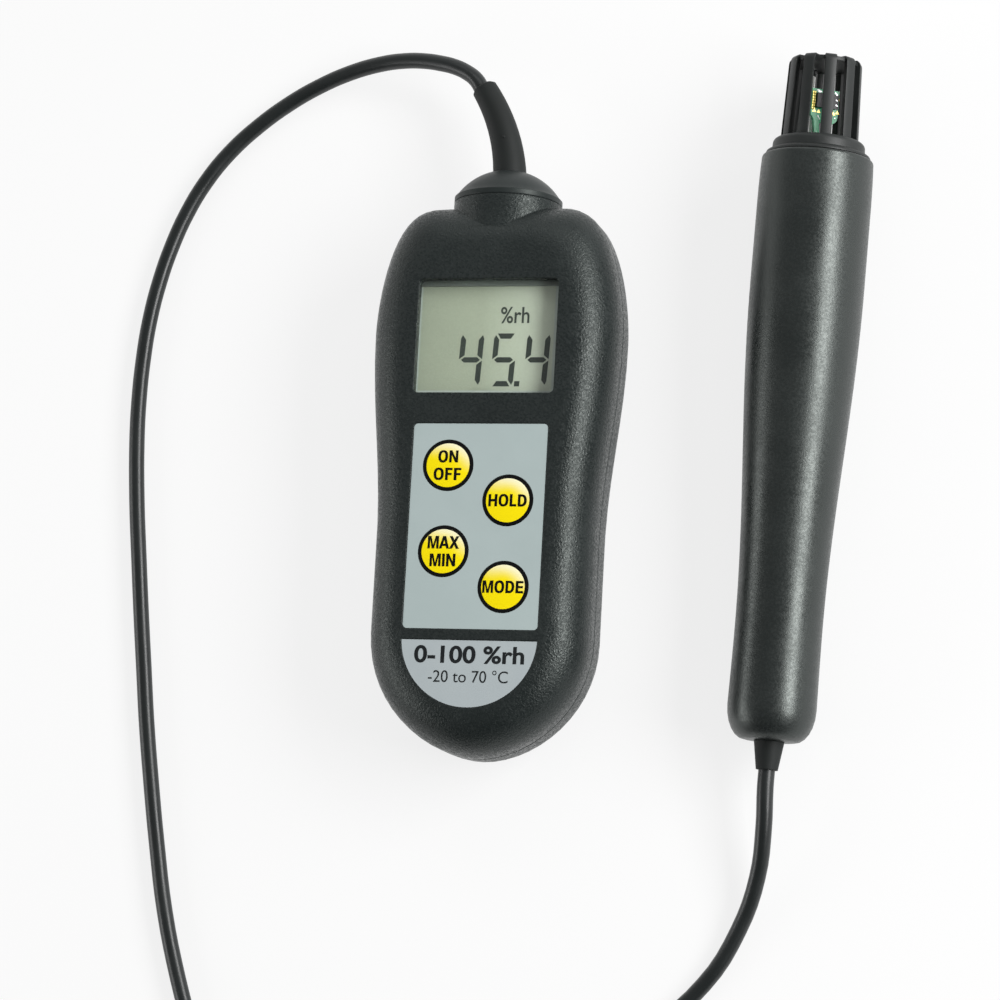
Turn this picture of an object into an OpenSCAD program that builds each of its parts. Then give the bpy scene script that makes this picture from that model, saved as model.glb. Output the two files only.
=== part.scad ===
// Hand-held thermo-hygrometer with a humidity probe on a lead.
// The meter lies on its back and the probe lies beside it. Millimetres, +Z up.
// The origin is on the back face, half way along the meter. +Y points to the lead end.

/* [Case] */
// Length of the meter, from its bottom end to the top of the end cap
case_l = 128; // [124:0.5:134]
// Greatest width, across the display
case_w = 53.8; // [53:0.2:58]
// Distance from the shoulders' top down to the widest place
wide_down = 27.9; // [27:0.1:29]
// Width across the waist, where the hand holds it
waist_w = 47.8; // [47:0.2:50]
// Thickness from back to front
case_t = 25; // [25:0.5:28]
// Wall of both shells
wall = 2; // [1.8:0.1:2.4]
// Depth of the rounded bottom end
end_depth = 25.5; // [20:0.5:27]
// Width of the rounding round the front face
front_round_w = 9.6; // [8:0.2:10]
// Height of the rounding round the front face
front_round_h = 10; // [8:0.2:10]
// Width of the rounding round the back face
back_round_w = 8.5; // [7:0.25:9]
// Height of the rounding round the back face
back_round_h = 8; // [6.5:0.25:8.5]
// Height of the lip inside the joint between the shells
lip_h = 1; // [0.6:0.1:1.5]
// Gap all round that lets one moulding enter another
fit_gap = 0.1; // [0.08:0.02:0.2]

/* [Neck and end cap] */
// Radius of the neck
neck_r = 11.7; // [11.2:0.1:12]
// Height of the end cap above the neck
cap_h = 7.8; // [7:0.1:8.6]
// Height of the straight rim under the end cap's dome
cap_rim_h = 1.3; // [0.8:0.1:1.8]
// Radius that the end cap's dome is turned to
dome_r = 13.4; // [13:0.1:15]
// Wall of the neck
neck_wall = 1.8; // [1.5:0.1:2.2]
// How far the end cap's spigot reaches into the neck
spigot_l = 9; // [7:0.5:10]
// Radius of the strain relief where it leaves the end cap
relief_r = 3.75; // [3.4:0.05:4.2]
// Radius of the strain relief at its tip
relief_tip_r = 2.8; // [2.4:0.05:3.2]
// Length of the bent part of the strain relief
relief_l = 23.9; // [20:0.1:25]
// How far the strain relief bends to the left, in degrees
relief_bend = 33; // [20:1:40]

/* [Display] */
// Width of the window opening
window_w = 30.6; // [28:0.2:31]
// Height of the window opening
window_h = 24.8; // [22:0.2:25.4]
// Distance from the shoulders' top down to the middle of the window
window_down = 29.9; // [29.6:0.1:30.8]
// Thickness of the clear window
window_t = 1; // [0.8:0.1:1.2]
// How far the clear window laps behind the front wall on each side
window_lap = 1.5; // [1:0.1:1.6]
// Thickness of the liquid crystal cell
lcd_t = 2.2; // [1.8:0.1:2.6]
// Wall of the frame that holds the cell
lcd_frame_wall = 1.4; // [1:0.1:1.5]

/* [Keypad] */
// Width of the printed overlay
overlay_w = 29.2; // [28.4:0.2:31]
// Height of the printed overlay
overlay_h = 43.8; // [42.4:0.2:44.4]
// Top edge of the overlay along the case
overlay_y = 5.8; // [5:0.1:6.2]
// Thickness of the overlay and of the label
overlay_t = 0.5; // [0.4:0.05:0.7]
// Depth of the recess that the overlay and the label lie in
recess_t = 0.6; // [0.55:0.05:0.8]
// Diameter of a key
key_d = 10.9; // [10:0.1:11.4]
// Distance between the two columns of keys
key_columns = 13.4; // [12.8:0.1:14]
// Distance between two keys of one column
key_pitch = 18.4; // [17.5:0.1:19]
// How much lower the right column starts
key_step = 7.4; // [6.8:0.1:7.8]
// From the overlay's top edge to the first key's middle
key_first = 9; // [8.4:0.1:9.6]
// How far a key travels
key_travel = 0.35; // [0.25:0.05:0.5]
// Height of a domed key top above its rim
key_crown = 0.25; // [0.15:0.05:0.4]
// Side of a tactile switch's square housing
switch_w = 6; // [5.5:0.1:6.5]
// Height of a tactile switch's housing
switch_h = 4; // [3.2:0.1:4.4]
// Radius of a switch plunger
plunger_r = 1.7; // [1.5:0.05:1.9]
// Radius of the round bottom label
label_r = 14.65; // [14:0.05:15]
// Gap between the overlay and the label
label_gap = 2.4; // [2.2:0.1:3]

/* [Circuit board] */
// Width of the board
board_w = 40; // [38:0.5:41]
// Thickness of the board
board_t = 1.6; // [1.2:0.1:1.8]
// Distance from the shoulders' top down to the board's top edge
board_down = 15.4; // [15:0.1:15.6]
// Distance from the bottom end up to the board's bottom edge
board_up = 15; // [14:0.5:17]

/* [Batteries] */
// Diameter of a battery, size AAA
battery_d = 10.5; // [10.3:0.1:10.6]
// Length of a battery without its tip
battery_l = 43.7; // [43.3:0.1:44]
// Space between two batteries
battery_gap = 0.3; // [0.2:0.05:0.4]
// Wire of a battery spring
spring_wire_d = 0.7; // [0.5:0.05:0.8]
// Length of a battery spring in use
spring_l = 3.2; // [3:0.1:3.6]
// Thickness of the battery cover
cover_t = 1.8; // [1.6:0.1:1.9]
// How far the cover lies below the back face
cover_sink = 0.3; // [0.2:0.05:0.5]
// Distance from the bottom end up to the battery bay
bay_up = 12.5; // [12:0.1:12.8]

/* [Probe] */
// Length of the handle
handle_l = 124; // [118:1:130]
// Radius of the slim lower part of the handle
handle_low_r = 9.15; // [9:0.05:9.6]
// Radius of the full upper part of the handle
handle_top_r = 12.05; // [11.9:0.05:12.8]
// Radius of the bore for the sensor end
handle_bore_r = 9.6; // [9:0.1:9.9]
// Radius of the collar below the guard
collar_r = 9.8; // [9.4:0.1:10.4]
// Length of the guard's ribs, from the collar to the tip
guard_l = 17.8; // [16.6:0.2:20]
// Radius of the guard at the collar
guard_r = 8.2; // [7.9:0.05:8.5]
// How much slimmer the guard is at its tip
guard_taper = 0.5; // [0:0.1:0.8]
// Number of ribs on the guard
guard_ribs = 10; // [8:1:11]
// Width of a rib
rib_w = 2.5; // [2:0.1:2.7]
// Thickness of a rib
rib_t = 1.8; // [1.4:0.1:2]
// Width of the sensor board's head
sensor_w = 6; // [5.4:0.1:6.6]
// Distance from the meter's middle to the probe's lower end, across
probe_x = 61.5; // [56:0.1:66]
// Place of the probe's lower end along the meter
probe_y = -58.1; // [-61:0.1:-56]
// How far the probe is turned away from the meter, in degrees
probe_turn = 2.75; // [0:0.05:4]

/* [Lead] */
// Diameter of the lead
cord_d = 3.5; // [3.5:0.1:3.5]

/* [Hidden] */
$fn = 64;
key_names = ["on_off", "hold", "max_min", "mode"];
battery_count = 3;

black = [0.13, 0.14, 0.14];
grey_blue = [0.68, 0.73, 0.74];
yellow = [1, 0.88, 0.05];
steel = [0.72, 0.73, 0.75];

// Places along and through the case
seam_z = case_t / 2;
bottom_y = -case_l / 2;
neck_y = case_l / 2 - cap_h;
neck_out = 1.4;
shoulder_y = neck_y - neck_out;
waist_y = -17.5;
wide_y = shoulder_y - wide_down;
window_y = shoulder_y - window_down;
board_top = shoulder_y - board_down;
board_bottom = bottom_y + board_up;
end_power = 1.1;
shoulder_power_x = 0.64;
shoulder_power_y = 1.16;
mid_y = (bottom_y + shoulder_y) / 2;
half_l = (shoulder_y - bottom_y) / 2;
end_steps = 14;
side_steps = 11;
shoulder_steps = 16;
round_steps = 8;
inner_steps = 3;
joint_bevel = 0.25;

// Levels inside the case, from the front wall down to the board
inner_front = case_t - wall;
window_z = inner_front - window_t;
lcd_gap = 0.8;
lcd_z = window_z - lcd_gap - lcd_t;
board_depth = 9.5;
board_z = case_t - board_depth;
board_face = board_z + board_t;
inside_gap = 0.1;
corner_r = 1;
through = 1;

// The outline of the case, bottom centre first, then up the right side and down the left.
function ease(u) = u <= 0 ? 0 : u >= 1 ? 1 : (1 - cos(180 * u)) / 2;
function case_half_w(y) = waist_w / 2 + (case_w - waist_w) / 2 * ease((y - waist_y) / (wide_y - waist_y));
right_side = concat(
  [for (i = [0:end_steps]) let (a = 90 * i / end_steps)
    [waist_w / 2 * pow(sin(a), end_power), bottom_y + end_depth - end_depth * cos(a)]],
  [for (i = [1:side_steps]) let (y = bottom_y + end_depth + (wide_y - bottom_y - end_depth) * i / side_steps)
    [case_half_w(y), y]],
  [for (i = [1:shoulder_steps]) let (a = 90 * i / shoulder_steps)
    [neck_r + (case_w / 2 - neck_r) * pow(max(cos(a), 0), shoulder_power_x),
     wide_y + (shoulder_y - wide_y) * pow(sin(a), shoulder_power_y)]]);
outline = concat(right_side, [for (i = [len(right_side) - 1:-1:1]) [-right_side[i].x, right_side[i].y]]);
function inset_ring(d, z) = [for (p = outline)
  [p.x * (1 - d / (case_w / 2)), mid_y + (p.y - mid_y) * (1 - d / half_l), z]];

// A closed skin from a profile of [inset, height] steps, each end closed by a fan.
module skin(profile) {
  n = len(outline);
  k = len(profile);
  points = concat([[0, mid_y, profile[0].y]],
    [for (s = profile) each inset_ring(s.x, s.y)],
    [[0, mid_y, profile[k - 1].y]]);
  function at(ring, i) = 1 + ring * n + i % n;
  polyhedron(points, concat(
    [for (i = [0:n - 1]) [0, at(0, i + 1), at(0, i)]],
    [for (r = [0:k - 2]) for (i = [0:n - 1]) each
      [[at(r, i), at(r, i + 1), at(r + 1, i + 1)], [at(r, i), at(r + 1, i + 1), at(r + 1, i)]]],
    [for (i = [0:n - 1]) [k * n + 1, at(k - 1, i), at(k - 1, i + 1)]]), convexity = 6);
}

// Quarter-round steps of a face's edge, from the flat to the side.
function round_out(w, h, in, z, steps) = [for (i = [0:steps]) let (a = 90 * i / steps)
  [in + w * (1 - sin(a)), z - h * (1 - cos(a))]];
function reversed(list) = [for (i = [len(list) - 1:-1:0]) list[i]];

// A half shell whose face lies at height z: outer skin, bevelled joint, lip or rebate, inner skin.
function shell_profile(w, h, face_z, joint_z, step_z, step_in) = concat(
  round_out(w, h, 0, face_z, round_steps),
  [[0, joint_z + joint_bevel], [joint_bevel, joint_z], [step_in, joint_z], [step_in, step_z], [wall, step_z]],
  reversed(round_out(w, h, wall, face_z - wall, inner_steps)));

module rounded_plate(w, l, t, r) {
  linear_extrude(t) union() {
    square([w - 2 * r, l], center = true);
    square([w, l - 2 * r], center = true);
    for (x = [-1, 1], y = [-1, 1]) translate([x * (w / 2 - r), y * (l / 2 - r)]) circle(r);
  }
}

module along_y(y, z) { translate([0, y, z]) rotate([-90, 0, 0]) children(); }
module box_at(lo, hi) { translate(lo) cube(hi - lo); }

// Keys and their places
key_hole_r = key_d / 2 + fit_gap;
function key_at(i) = [(i % 2 == 0 ? -1 : 1) * key_columns / 2,
  overlay_y - key_first - floor(i / 2) * key_pitch - (i % 2) * key_step];
module at_keys() { for (i = [0:3]) translate(key_at(i)) children(); }
recess_z = case_t - recess_t;
switch_top = board_face + switch_h;
pad_drop = 2.4;
plunger_top = case_t - pad_drop;
plunger_in = 2;
plunger_bottom = switch_top - plunger_in;

// The round bottom label
label_y = overlay_y - overlay_h - label_gap;
label_drop = 0.55;
module label_shape(r) {
  intersection() {
    translate([0, label_y + label_drop]) circle(r);
    translate([0, label_y - r + (r - label_r)]) square([4 * r, 2 * r], center = true);
  }
}

// Fasteners of the case: two beside the neck and one under the battery cover
screw_r = 1.25;
screw_hole_r = 1.5;
screw_head_r = 2.3;
screw_head_h = 1.8;
boss_r = 2.8;
boss_clear = 0.6;
boss_top = inner_front - boss_clear;
top_screw_down = 11.2;
top_screw = [17.4, shoulder_y - top_screw_down];
bottom_screw_in = 6.4;
bottom_screw_y = bottom_y + bottom_screw_in;
case_screw_places = [[-top_screw.x, top_screw.y], [top_screw.x, top_screw.y], [0, bottom_screw_y]];
head_seat_z = 4.4;
screw_tip_in = 5.2;
screw_tip_z = case_t - screw_tip_in;
board_screw_x = 16.6;
board_screw_down = 20.4;
board_screw_y = window_y - board_screw_down;
board_screw_r = 0.9;
board_screw_l = 6;
board_post_r = 2.2;

// Battery bay and cover
battery_pitch = battery_d + battery_gap;
bay_w = battery_count * battery_pitch + battery_gap;
plate_t = 0.5;
tip_l = 0.8;
bay_l = battery_l + tip_l + spring_l + 2 * plate_t;
bay_bottom = bottom_y + bay_up;
bay_top = bay_bottom + bay_l;
bay_wall = 1.2;
cover_floor = cover_sink + cover_t + fit_gap;
battery_clear = 0.2;
battery_z = cover_floor + battery_clear + battery_d / 2;
bay_roof = battery_z + battery_d / 2 + battery_clear;
cover_lap = 0.6;
cover_half_w = bay_w / 2 + cover_lap;
cover_top = bay_top + 2 * cover_lap;
cover_seat_t = 1.2;
tongue_w = 0.8;
tongue_t = 0.8;
tongue_start = 6;
grip_grooves = 6;
grip_w = 14;
grip_pitch = 1.6;

// Neck and end cap
neck_bore_r = neck_r - neck_wall;
spigot_r = neck_bore_r - fit_gap;
cap_bevel = 0.25;
spigot_bevel = 0.5;
dome_base_r = neck_r - 0.6;
dome_middle_y = case_l / 2 - dome_r;
dome_edge_angle = asin(dome_base_r / dome_r);
dome_steps = 16;
dome = [for (i = [0:dome_steps]) let (a = dome_edge_angle * (1 - i / dome_steps))
  [dome_r * sin(a), dome_middle_y + dome_r * cos(a)]];
relief_flange_r = 6;
relief_flange_t = 2;
relief_gap = 0.15;
relief_in_y = neck_y - 3;
relief_exit_y = dome_middle_y + sqrt(dome_r * dome_r - relief_r * relief_r);
bend_y = relief_exit_y - 2.5;

module front_shell() {
  color(black) difference() {
    union() {
      skin(shell_profile(front_round_w, front_round_h, case_t, seam_z, seam_z - lip_h,
                         wall / 2 + fit_gap / 2));
      half_neck(1);
      for (p = case_screw_places) translate([p.x, p.y, seam_z + inside_gap])
        cylinder(r = boss_r, h = boss_top - seam_z - inside_gap);
      for (x = [-1, 1]) translate([x * board_screw_x, board_screw_y, board_face])
        cylinder(r = board_post_r, h = inner_front - board_face + 0.2);
    }
    // Bore of the neck, and the lip cleared where the neck crosses it
    along_y(neck_start, seam_z) cylinder(r = neck_bore_r, h = neck_l + 1);
    box_at([-neck_r - 1, shoulder_y - 4, seam_z - lip_h - 1], [neck_r + 1, neck_y + 1, seam_z]);
    // Display opening, with the pocket for the clear window behind it
    pocket = 2 * (window_lap + fit_gap);
    translate([0, window_y, inner_front - through])
      rounded_plate(window_w, window_h, wall + 2 * through, corner_r);
    translate([0, window_y, window_z - through])
      rounded_plate(window_w + pocket, window_h + pocket, window_t + through, corner_r);
    // Recesses for the overlay and the label, and the key openings
    translate([0, overlay_y - overlay_h / 2, recess_z])
      rounded_plate(overlay_w + 2 * fit_gap, overlay_h + 2 * fit_gap, recess_t + through, corner_r);
    translate([0, 0, recess_z]) linear_extrude(recess_t + through) label_shape(label_r + fit_gap);
    translate([0, 0, inner_front - through]) at_keys() cylinder(r = key_hole_r, h = wall + through);
    // Pilot holes for the screws
    for (p = case_screw_places) translate([p.x, p.y, seam_z - 1])
      cylinder(r = screw_r, h = screw_tip_z - seam_z + 1.4);
    for (x = [-1, 1]) translate([x * board_screw_x, board_screw_y, board_face - 1])
      cylinder(r = board_screw_r, h = board_screw_l - board_t + 1.4);
  }
}

// One half of the neck, as a solid half cylinder on the seam plane.
neck_l = spigot_l + 1.5;
neck_start = neck_y - neck_l;
module half_neck(side) {
  intersection() {
    along_y(neck_start, seam_z) cylinder(r = neck_r, h = neck_l);
    translate([-neck_r, neck_start, side > 0 ? seam_z : seam_z - neck_r]) cube([2 * neck_r, neck_l, neck_r]);
  }
}

// The solid outer form of the back, drawn in all round by a depth.
module back_form(in) {
  mirror([0, 0, 1]) skin(concat(round_out(back_round_w, back_round_h, in, 0, 4), [[in, -seam_z]]));
}

module rear_shell() {
  tongue_half_w = cover_half_w + tongue_w;
  lip_low = seam_z - lip_h - fit_gap;
  color(black) difference() {
    union() {
      mirror([0, 0, 1])
        skin(shell_profile(back_round_w, back_round_h, 0, -seam_z, lip_h + fit_gap - seam_z,
                           wall / 2 - fit_gap / 2));
      half_neck(-1);
      // Battery bay, the seat that the cover slides under, and the screw bosses
      intersection() {
        back_form(wall / 4);
        union() {
          box_at([-bay_w / 2 - bay_wall, bay_bottom - bay_wall, wall / 2],
                 [bay_w / 2 + bay_wall, bay_top + bay_wall, lip_low]);
          box_at([-tongue_half_w - bay_wall, bottom_y, wall / 2],
                 [tongue_half_w + bay_wall, cover_top + bay_wall, cover_floor + cover_seat_t]);
          for (p = case_screw_places) translate([p.x, p.y, wall / 2])
            cylinder(r = boss_r, h = seam_z - inside_gap - wall / 2);
        }
      }
      // Top of the battery bay, which stands up inside the front shell
      intersection() {
        front_inside(inside_gap, lip_low - wall);
        box_at([-bay_w / 2 - bay_wall, bay_bottom - bay_wall, lip_low - wall / 2],
               [bay_w / 2 + bay_wall, bay_top + bay_wall, bay_roof + bay_wall]);
      }
    }
    along_y(neck_start, seam_z) cylinder(r = neck_bore_r, h = neck_l + 1);
    // Inside of the battery bay
    box_at([-bay_w / 2, bay_bottom, -1], [bay_w / 2, bay_top, bay_roof]);
    // Way for the cover, open at the bottom end, and the rail grooves
    box_at([-cover_half_w - fit_gap, bottom_y - 1, -1],
           [cover_half_w + fit_gap, cover_top + fit_gap, cover_floor]);
    box_at([-tongue_half_w - fit_gap, bottom_y - 1, cover_floor - tongue_t - 2 * fit_gap],
           [tongue_half_w + fit_gap, cover_top + fit_gap, cover_floor]);
    // Screw holes and head seats
    for (p = case_screw_places) translate([p.x, p.y, -1]) {
      cylinder(r = screw_hole_r, h = seam_z + 2);
      cylinder(r = screw_head_r + 0.3, h = head_seat_z + 1);
    }
  }
}

module battery_cover() {
  rails_z = cover_floor - fit_gap;
  color(black) difference() {
    intersection() {
      back_form(0);
      union() {
        box_at([-cover_half_w, bottom_y - 1, cover_sink], [cover_half_w, cover_top, rails_z]);
        box_at([-cover_half_w - tongue_w, bay_bottom + tongue_start, rails_z - tongue_t],
               [cover_half_w + tongue_w, cover_top, rails_z]);
      }
    }
    // Finger grip
    for (i = [0:grip_grooves - 1]) translate([-grip_w / 2, bay_bottom + 3 + grip_pitch * i, cover_sink - 1])
      cube([grip_w, grip_pitch / 2, 1.4]);
  }
}

// The end cap: a spigot in the neck, a short straight rim, and a dome with the lead's way out.
module end_cap() {
  color(black) difference() {
    along_y(0, seam_z) rotate_extrude($fn = 96) polygon(concat(
      [[0, neck_y - spigot_l], [spigot_r - spigot_bevel, neck_y - spigot_l],
       [spigot_r, neck_y - spigot_l + spigot_bevel], [spigot_r, neck_y], [neck_r - cap_bevel, neck_y],
       [neck_r, neck_y + cap_bevel], [neck_r, neck_y + cap_rim_h]],
      dome));
    along_y(neck_y - spigot_l - through, seam_z)
      cylinder(r = relief_flange_r + fit_gap, h = relief_in_y - neck_y + spigot_l + through);
    along_y(relief_in_y - through, seam_z) cylinder(r = relief_r + relief_gap, h = case_l);
  }
}

// A tube through points, with a radius for each point; the first and last faces are flat.
function unit(v) = v / norm(v);
function along(points, i) = unit(points[min(i + 1, len(points) - 1)] - points[max(i - 1, 0)]);
module tube(points, radii, sides, up = [0, 0, 1]) {
  n = len(points);
  rings = [for (i = [0:n - 1]) let (t = along(points, i), u = unit(cross(up, t)), v = cross(t, u))
    for (j = [0:sides - 1]) let (a = 360 * j / sides) points[i] + radii[i] * (cos(a) * u + sin(a) * v)];
  polyhedron(rings, concat(
    [[for (j = [0:sides - 1]) j]],
    [for (i = [0:n - 2]) for (j = [0:sides - 1]) let (k = (j + 1) % sides) each
      [[i * sides + j, (i + 1) * sides + j, (i + 1) * sides + k],
       [i * sides + j, (i + 1) * sides + k, i * sides + k]]],
    [[for (j = [sides - 1:-1:0]) (n - 1) * sides + j]]), convexity = 8);
}
function same(value, points) = [for (p = points) value];

// The strain relief: a flange and a straight neck inside the cap, then a bent taper with a round tip.
// It bends more near the cap than at the tip, and droops a little.
relief_steps = 12;
relief_droop = 4;
bend_power = 1.15;
tip_round = 0.5;
relief_step = (relief_l - tip_round) / relief_steps;
function relief_turn(u) = let (k = 1 - pow(1 - u, bend_power), a = relief_bend * k, b = relief_droop * u)
  [-sin(a) * cos(b), cos(a) * cos(b), -sin(b)];
relief_path = [for (i = 0, p = [0, bend_y, seam_z]; i <= relief_steps;
  p = p + relief_step * relief_turn((i + 0.5) / relief_steps), i = i + 1) p];
relief_way = relief_turn(1);
relief_tip = relief_path[relief_steps] + tip_round * relief_way;
module strain_relief() {
  radii = [for (i = [0:relief_steps]) relief_r + (relief_tip_r - relief_r) * i / relief_steps];
  color(black) union() {
    along_y(relief_in_y - relief_flange_t, seam_z) cylinder(r = relief_flange_r, h = relief_flange_t);
    along_y(relief_in_y - 0.1, seam_z) cylinder(r = relief_r, h = bend_y - relief_in_y + 0.2);
    tube(concat(relief_path, [relief_tip]), concat(radii, [relief_tip_r - tip_round]), 24);
  }
}

module display_window() {
  color([0.8, 0.9, 0.88, 0.3]) translate([0, window_y, window_z])
    rounded_plate(window_w + 2 * window_lap, window_h + 2 * window_lap, window_t, 1);
}

lcd_w = window_w + 3.4;
lcd_h = window_h + 2.6;
module lcd_cell() {
  color([0.66, 0.7, 0.62]) box_at([-lcd_w / 2, window_y - lcd_h / 2, lcd_z],
                                  [lcd_w / 2, window_y + lcd_h / 2, lcd_z + lcd_t]);
}

lcd_frame_top = window_z - inside_gap;
lcd_mask_h = 1;
lcd_mask_out = 0.4;
module lcd_frame() {
  color([0.2, 0.2, 0.2]) difference() {
    intersection() {
      translate([0, window_y, board_face])
        rounded_plate(lcd_w + 2 * lcd_frame_wall, lcd_h + 2 * lcd_frame_wall, lcd_frame_top - board_face,
                      corner_r);
      front_inside(inside_gap, board_z);
    }
    box_at([-lcd_w / 2 - fit_gap, window_y - lcd_h / 2 - fit_gap, board_face - through],
           [lcd_w / 2 + fit_gap, window_y + lcd_h / 2 + fit_gap, lcd_z + lcd_t + fit_gap]);
    box_at([-window_w / 2 - lcd_mask_out, window_y - window_h / 2 - fit_gap, board_face],
           [window_w / 2 + lcd_mask_out, window_y + window_h / 2 - lcd_mask_h, case_t]);
  }
}

// The solid form of the room inside the front shell down to a level, drawn in all round by a gap.
module front_inside(gap, low) {
  skin(concat(round_out(front_round_w, front_round_h, wall + gap, inner_front - gap, inner_steps),
              [[wall + gap, low]]));
}

module contact_strips() {
  strip_w = 1.8;
  color([0.85, 0.5, 0.6]) for (y = [-1, 1])
    translate([-lcd_w / 2 + 1.5, window_y + y * (lcd_h / 2 - strip_w / 2 - 0.3) - strip_w / 2, board_face])
      cube([lcd_w - 3, strip_w, lcd_z - board_face]);
}

module keypad_overlay() {
  color(grey_blue) difference() {
    translate([0, overlay_y - overlay_h / 2, recess_z])
      rounded_plate(overlay_w, overlay_h, overlay_t, corner_r - fit_gap);
    translate([0, 0, recess_z - 1]) at_keys() cylinder(r = key_hole_r, h = overlay_t + 2);
  }
}

module bottom_label() {
  color(grey_blue) translate([0, 0, recess_z]) linear_extrude(overlay_t) label_shape(label_r);
}

// A key: the printed disc with its low crown, and a pad that bears on the switch plunger.
key_pad_r = 3;
crown_steps = 8;
module key(i) {
  crown = [for (j = [0:crown_steps]) let (u = j / crown_steps)
    [key_d / 2 * (1 - u), recess_z + overlay_t + key_crown * (1 - (1 - u) * (1 - u))]];
  color(yellow) translate(key_at(i)) rotate_extrude()
    polygon(concat([[0, plunger_top], [key_pad_r, plunger_top], [key_pad_r, recess_z], [key_d / 2, recess_z]],
                   crown));
}

module plunger(i) {
  color("dimgray") translate(key_at(i)) translate([0, 0, plunger_bottom])
    cylinder(r = plunger_r, h = plunger_top - plunger_bottom);
}

plunger_clear = 0.25;
module switch_housings() {
  color([0.25, 0.25, 0.27]) at_keys() difference() {
    translate([-switch_w / 2, -switch_w / 2, board_face]) cube([switch_w, switch_w, switch_h]);
    translate([0, 0, plunger_bottom - key_travel - plunger_clear])
      cylinder(r = plunger_r + fit_gap, h = switch_h);
  }
}

board_corner_r = 8;
board_hole_r = 1.2;
module circuit_board() {
  color([0.1, 0.4, 0.2]) difference() {
    translate([0, (board_top + board_bottom) / 2, board_z])
      rounded_plate(board_w, board_top - board_bottom, board_t, board_corner_r);
    for (x = [-1, 1]) translate([x * board_screw_x, board_screw_y, board_z - through])
      cylinder(r = board_hole_r, h = board_t + 2 * through);
  }
}

chip_w = 10;
chip_t = 1.1;
module main_chip() {
  color([0.1, 0.1, 0.1]) translate([0, window_y, board_face]) {
    translate([-chip_w / 2, -chip_w / 2, 0.15]) cube([chip_w, chip_w, chip_t]);
    for (turn = [0:90:270], i = [-5:5]) rotate(turn)
      translate([chip_w / 2 - 0.1, i * 0.8 - 0.15, 0]) cube([1.1, 0.3, 0.3]);
  }
}

small_chip = [5, 4, 1.2];
small_chip_out = 9;
module small_chips() {
  places = [[-small_chip_out, window_y + 6], [small_chip_out, window_y - 5], [0, board_bottom + 8]];
  color([0.12, 0.12, 0.12]) for (p = places)
    translate([p.x - small_chip.x / 2, p.y - small_chip.y / 2, board_face]) cube(small_chip);
}

// A pan-head screw pointing up, its seat at z = 0.
slot_depth = 0.7;
screw_slot = 0.6;
board_head_r = 1.8;
board_head_h = 1.1;
module screw(head_r, head_h, shank_r, l, slot) {
  difference() {
    union() {
      translate([0, 0, -head_h]) cylinder(r = head_r, h = head_h);
      translate([0, 0, -0.1]) cylinder(r = shank_r, h = l + 0.1);
    }
    for (turn = [0, 90]) rotate(turn) translate([-head_r * 0.7, -slot / 2, -head_h - through])
      cube([head_r * 1.4, slot, slot_depth + through]);
  }
}

module case_screws() {
  color(steel) for (p = case_screw_places) translate([p.x, p.y, head_seat_z])
    screw(screw_head_r, screw_head_h, screw_r, screw_tip_z - head_seat_z, screw_slot);
}

module board_screws() {
  color(steel) for (x = [-1, 1]) translate([x * board_screw_x, board_screw_y, board_z])
    screw(board_head_r, board_head_h, board_screw_r, board_screw_l, screw_slot);
}

// Every other battery is turned round. Each lies along the bay from its flat end at z = 0.
function battery_x(i) = (i - (battery_count + 1) / 2) * battery_pitch;
module from_flat_end(i, in) {
  turned = i % 2 == 1;
  translate([battery_x(i), turned ? bay_bottom + in : bay_top - in, battery_z])
    rotate([turned ? -90 : 90, 0, 0]) children();
}

tip_r = 1.9;
module battery(i) {
  color([0.3, 0.32, 0.36]) from_flat_end(i, plate_t + spring_l) {
    cylinder(d = battery_d, h = battery_l);
    translate([0, 0, battery_l - 0.1]) cylinder(r = tip_r, h = tip_l + 0.1);
  }
}

plate_w = 8;
module battery_plates() {
  color(steel) for (i = [1:battery_count], y = [bay_bottom, bay_top - plate_t])
    translate([battery_x(i) - plate_w / 2, y, battery_z - plate_w / 2]) cube([plate_w, plate_t, plate_w]);
}

// Coned springs, one at the flat end of each battery.
spring_turns = 3;
spring_big_r = 3.4;
spring_small_r = 1.6;
spring_end = spring_wire_d / 2;
function spring_point(u) =
  let (r = spring_big_r + (spring_small_r - spring_big_r) * u, a = 360 * spring_turns * u)
  [r * cos(a), r * sin(a), spring_end + (spring_l - 2 * spring_end) * u];
spring_points = [for (i = [0:8 * spring_turns]) spring_point(i / (8 * spring_turns))];
module battery_springs() {
  color(steel) for (i = [1:battery_count]) from_flat_end(i, plate_t)
    tube(spring_points, same(spring_wire_d / 2, spring_points), 6);
}

// Four wires from the strain relief's flange down to the board.
wire_r = 0.5;
module signal_wires() {
  start_y = relief_in_y - relief_flange_t;
  wire_colours = ["red", "white", "green", "yellow"];
  for (i = [0:3]) let (x = (i - 1.5) * 1.6, points = [
      [x, start_y, seam_z], [x, start_y - 2.5, seam_z], [1.3 * x, start_y - 5, seam_z + 0.6],
      [1.6 * x, board_top - 0.4 + 3, board_z - 0.8], [1.6 * x, board_top - 2, board_z - wire_r],
      [1.6 * x, board_top - 5, board_z - wire_r]])
    color(wire_colours[i]) tube(points, same(wire_r, points), 8);
}

// The handle swells from its slim part to a straight full part, and draws in a little at its rim.
flare_r = 0.2;
rim_draw = 0.25;
slim_s = 0.19 * handle_l;
full_s = 0.78 * handle_l;
clip_l = 18;
draw_s = full_s + clip_l;
function drawn_in(s) = s > draw_s ? rim_draw * pow((s - draw_s) / (handle_l - draw_s), 2) : 0;
function handle_r(s) = handle_low_r + (handle_top_r - handle_low_r) * ease((s - slim_s) / (full_s - slim_s))
  + flare_r * (1 - ease(s / slim_s)) - drawn_in(s);

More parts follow.
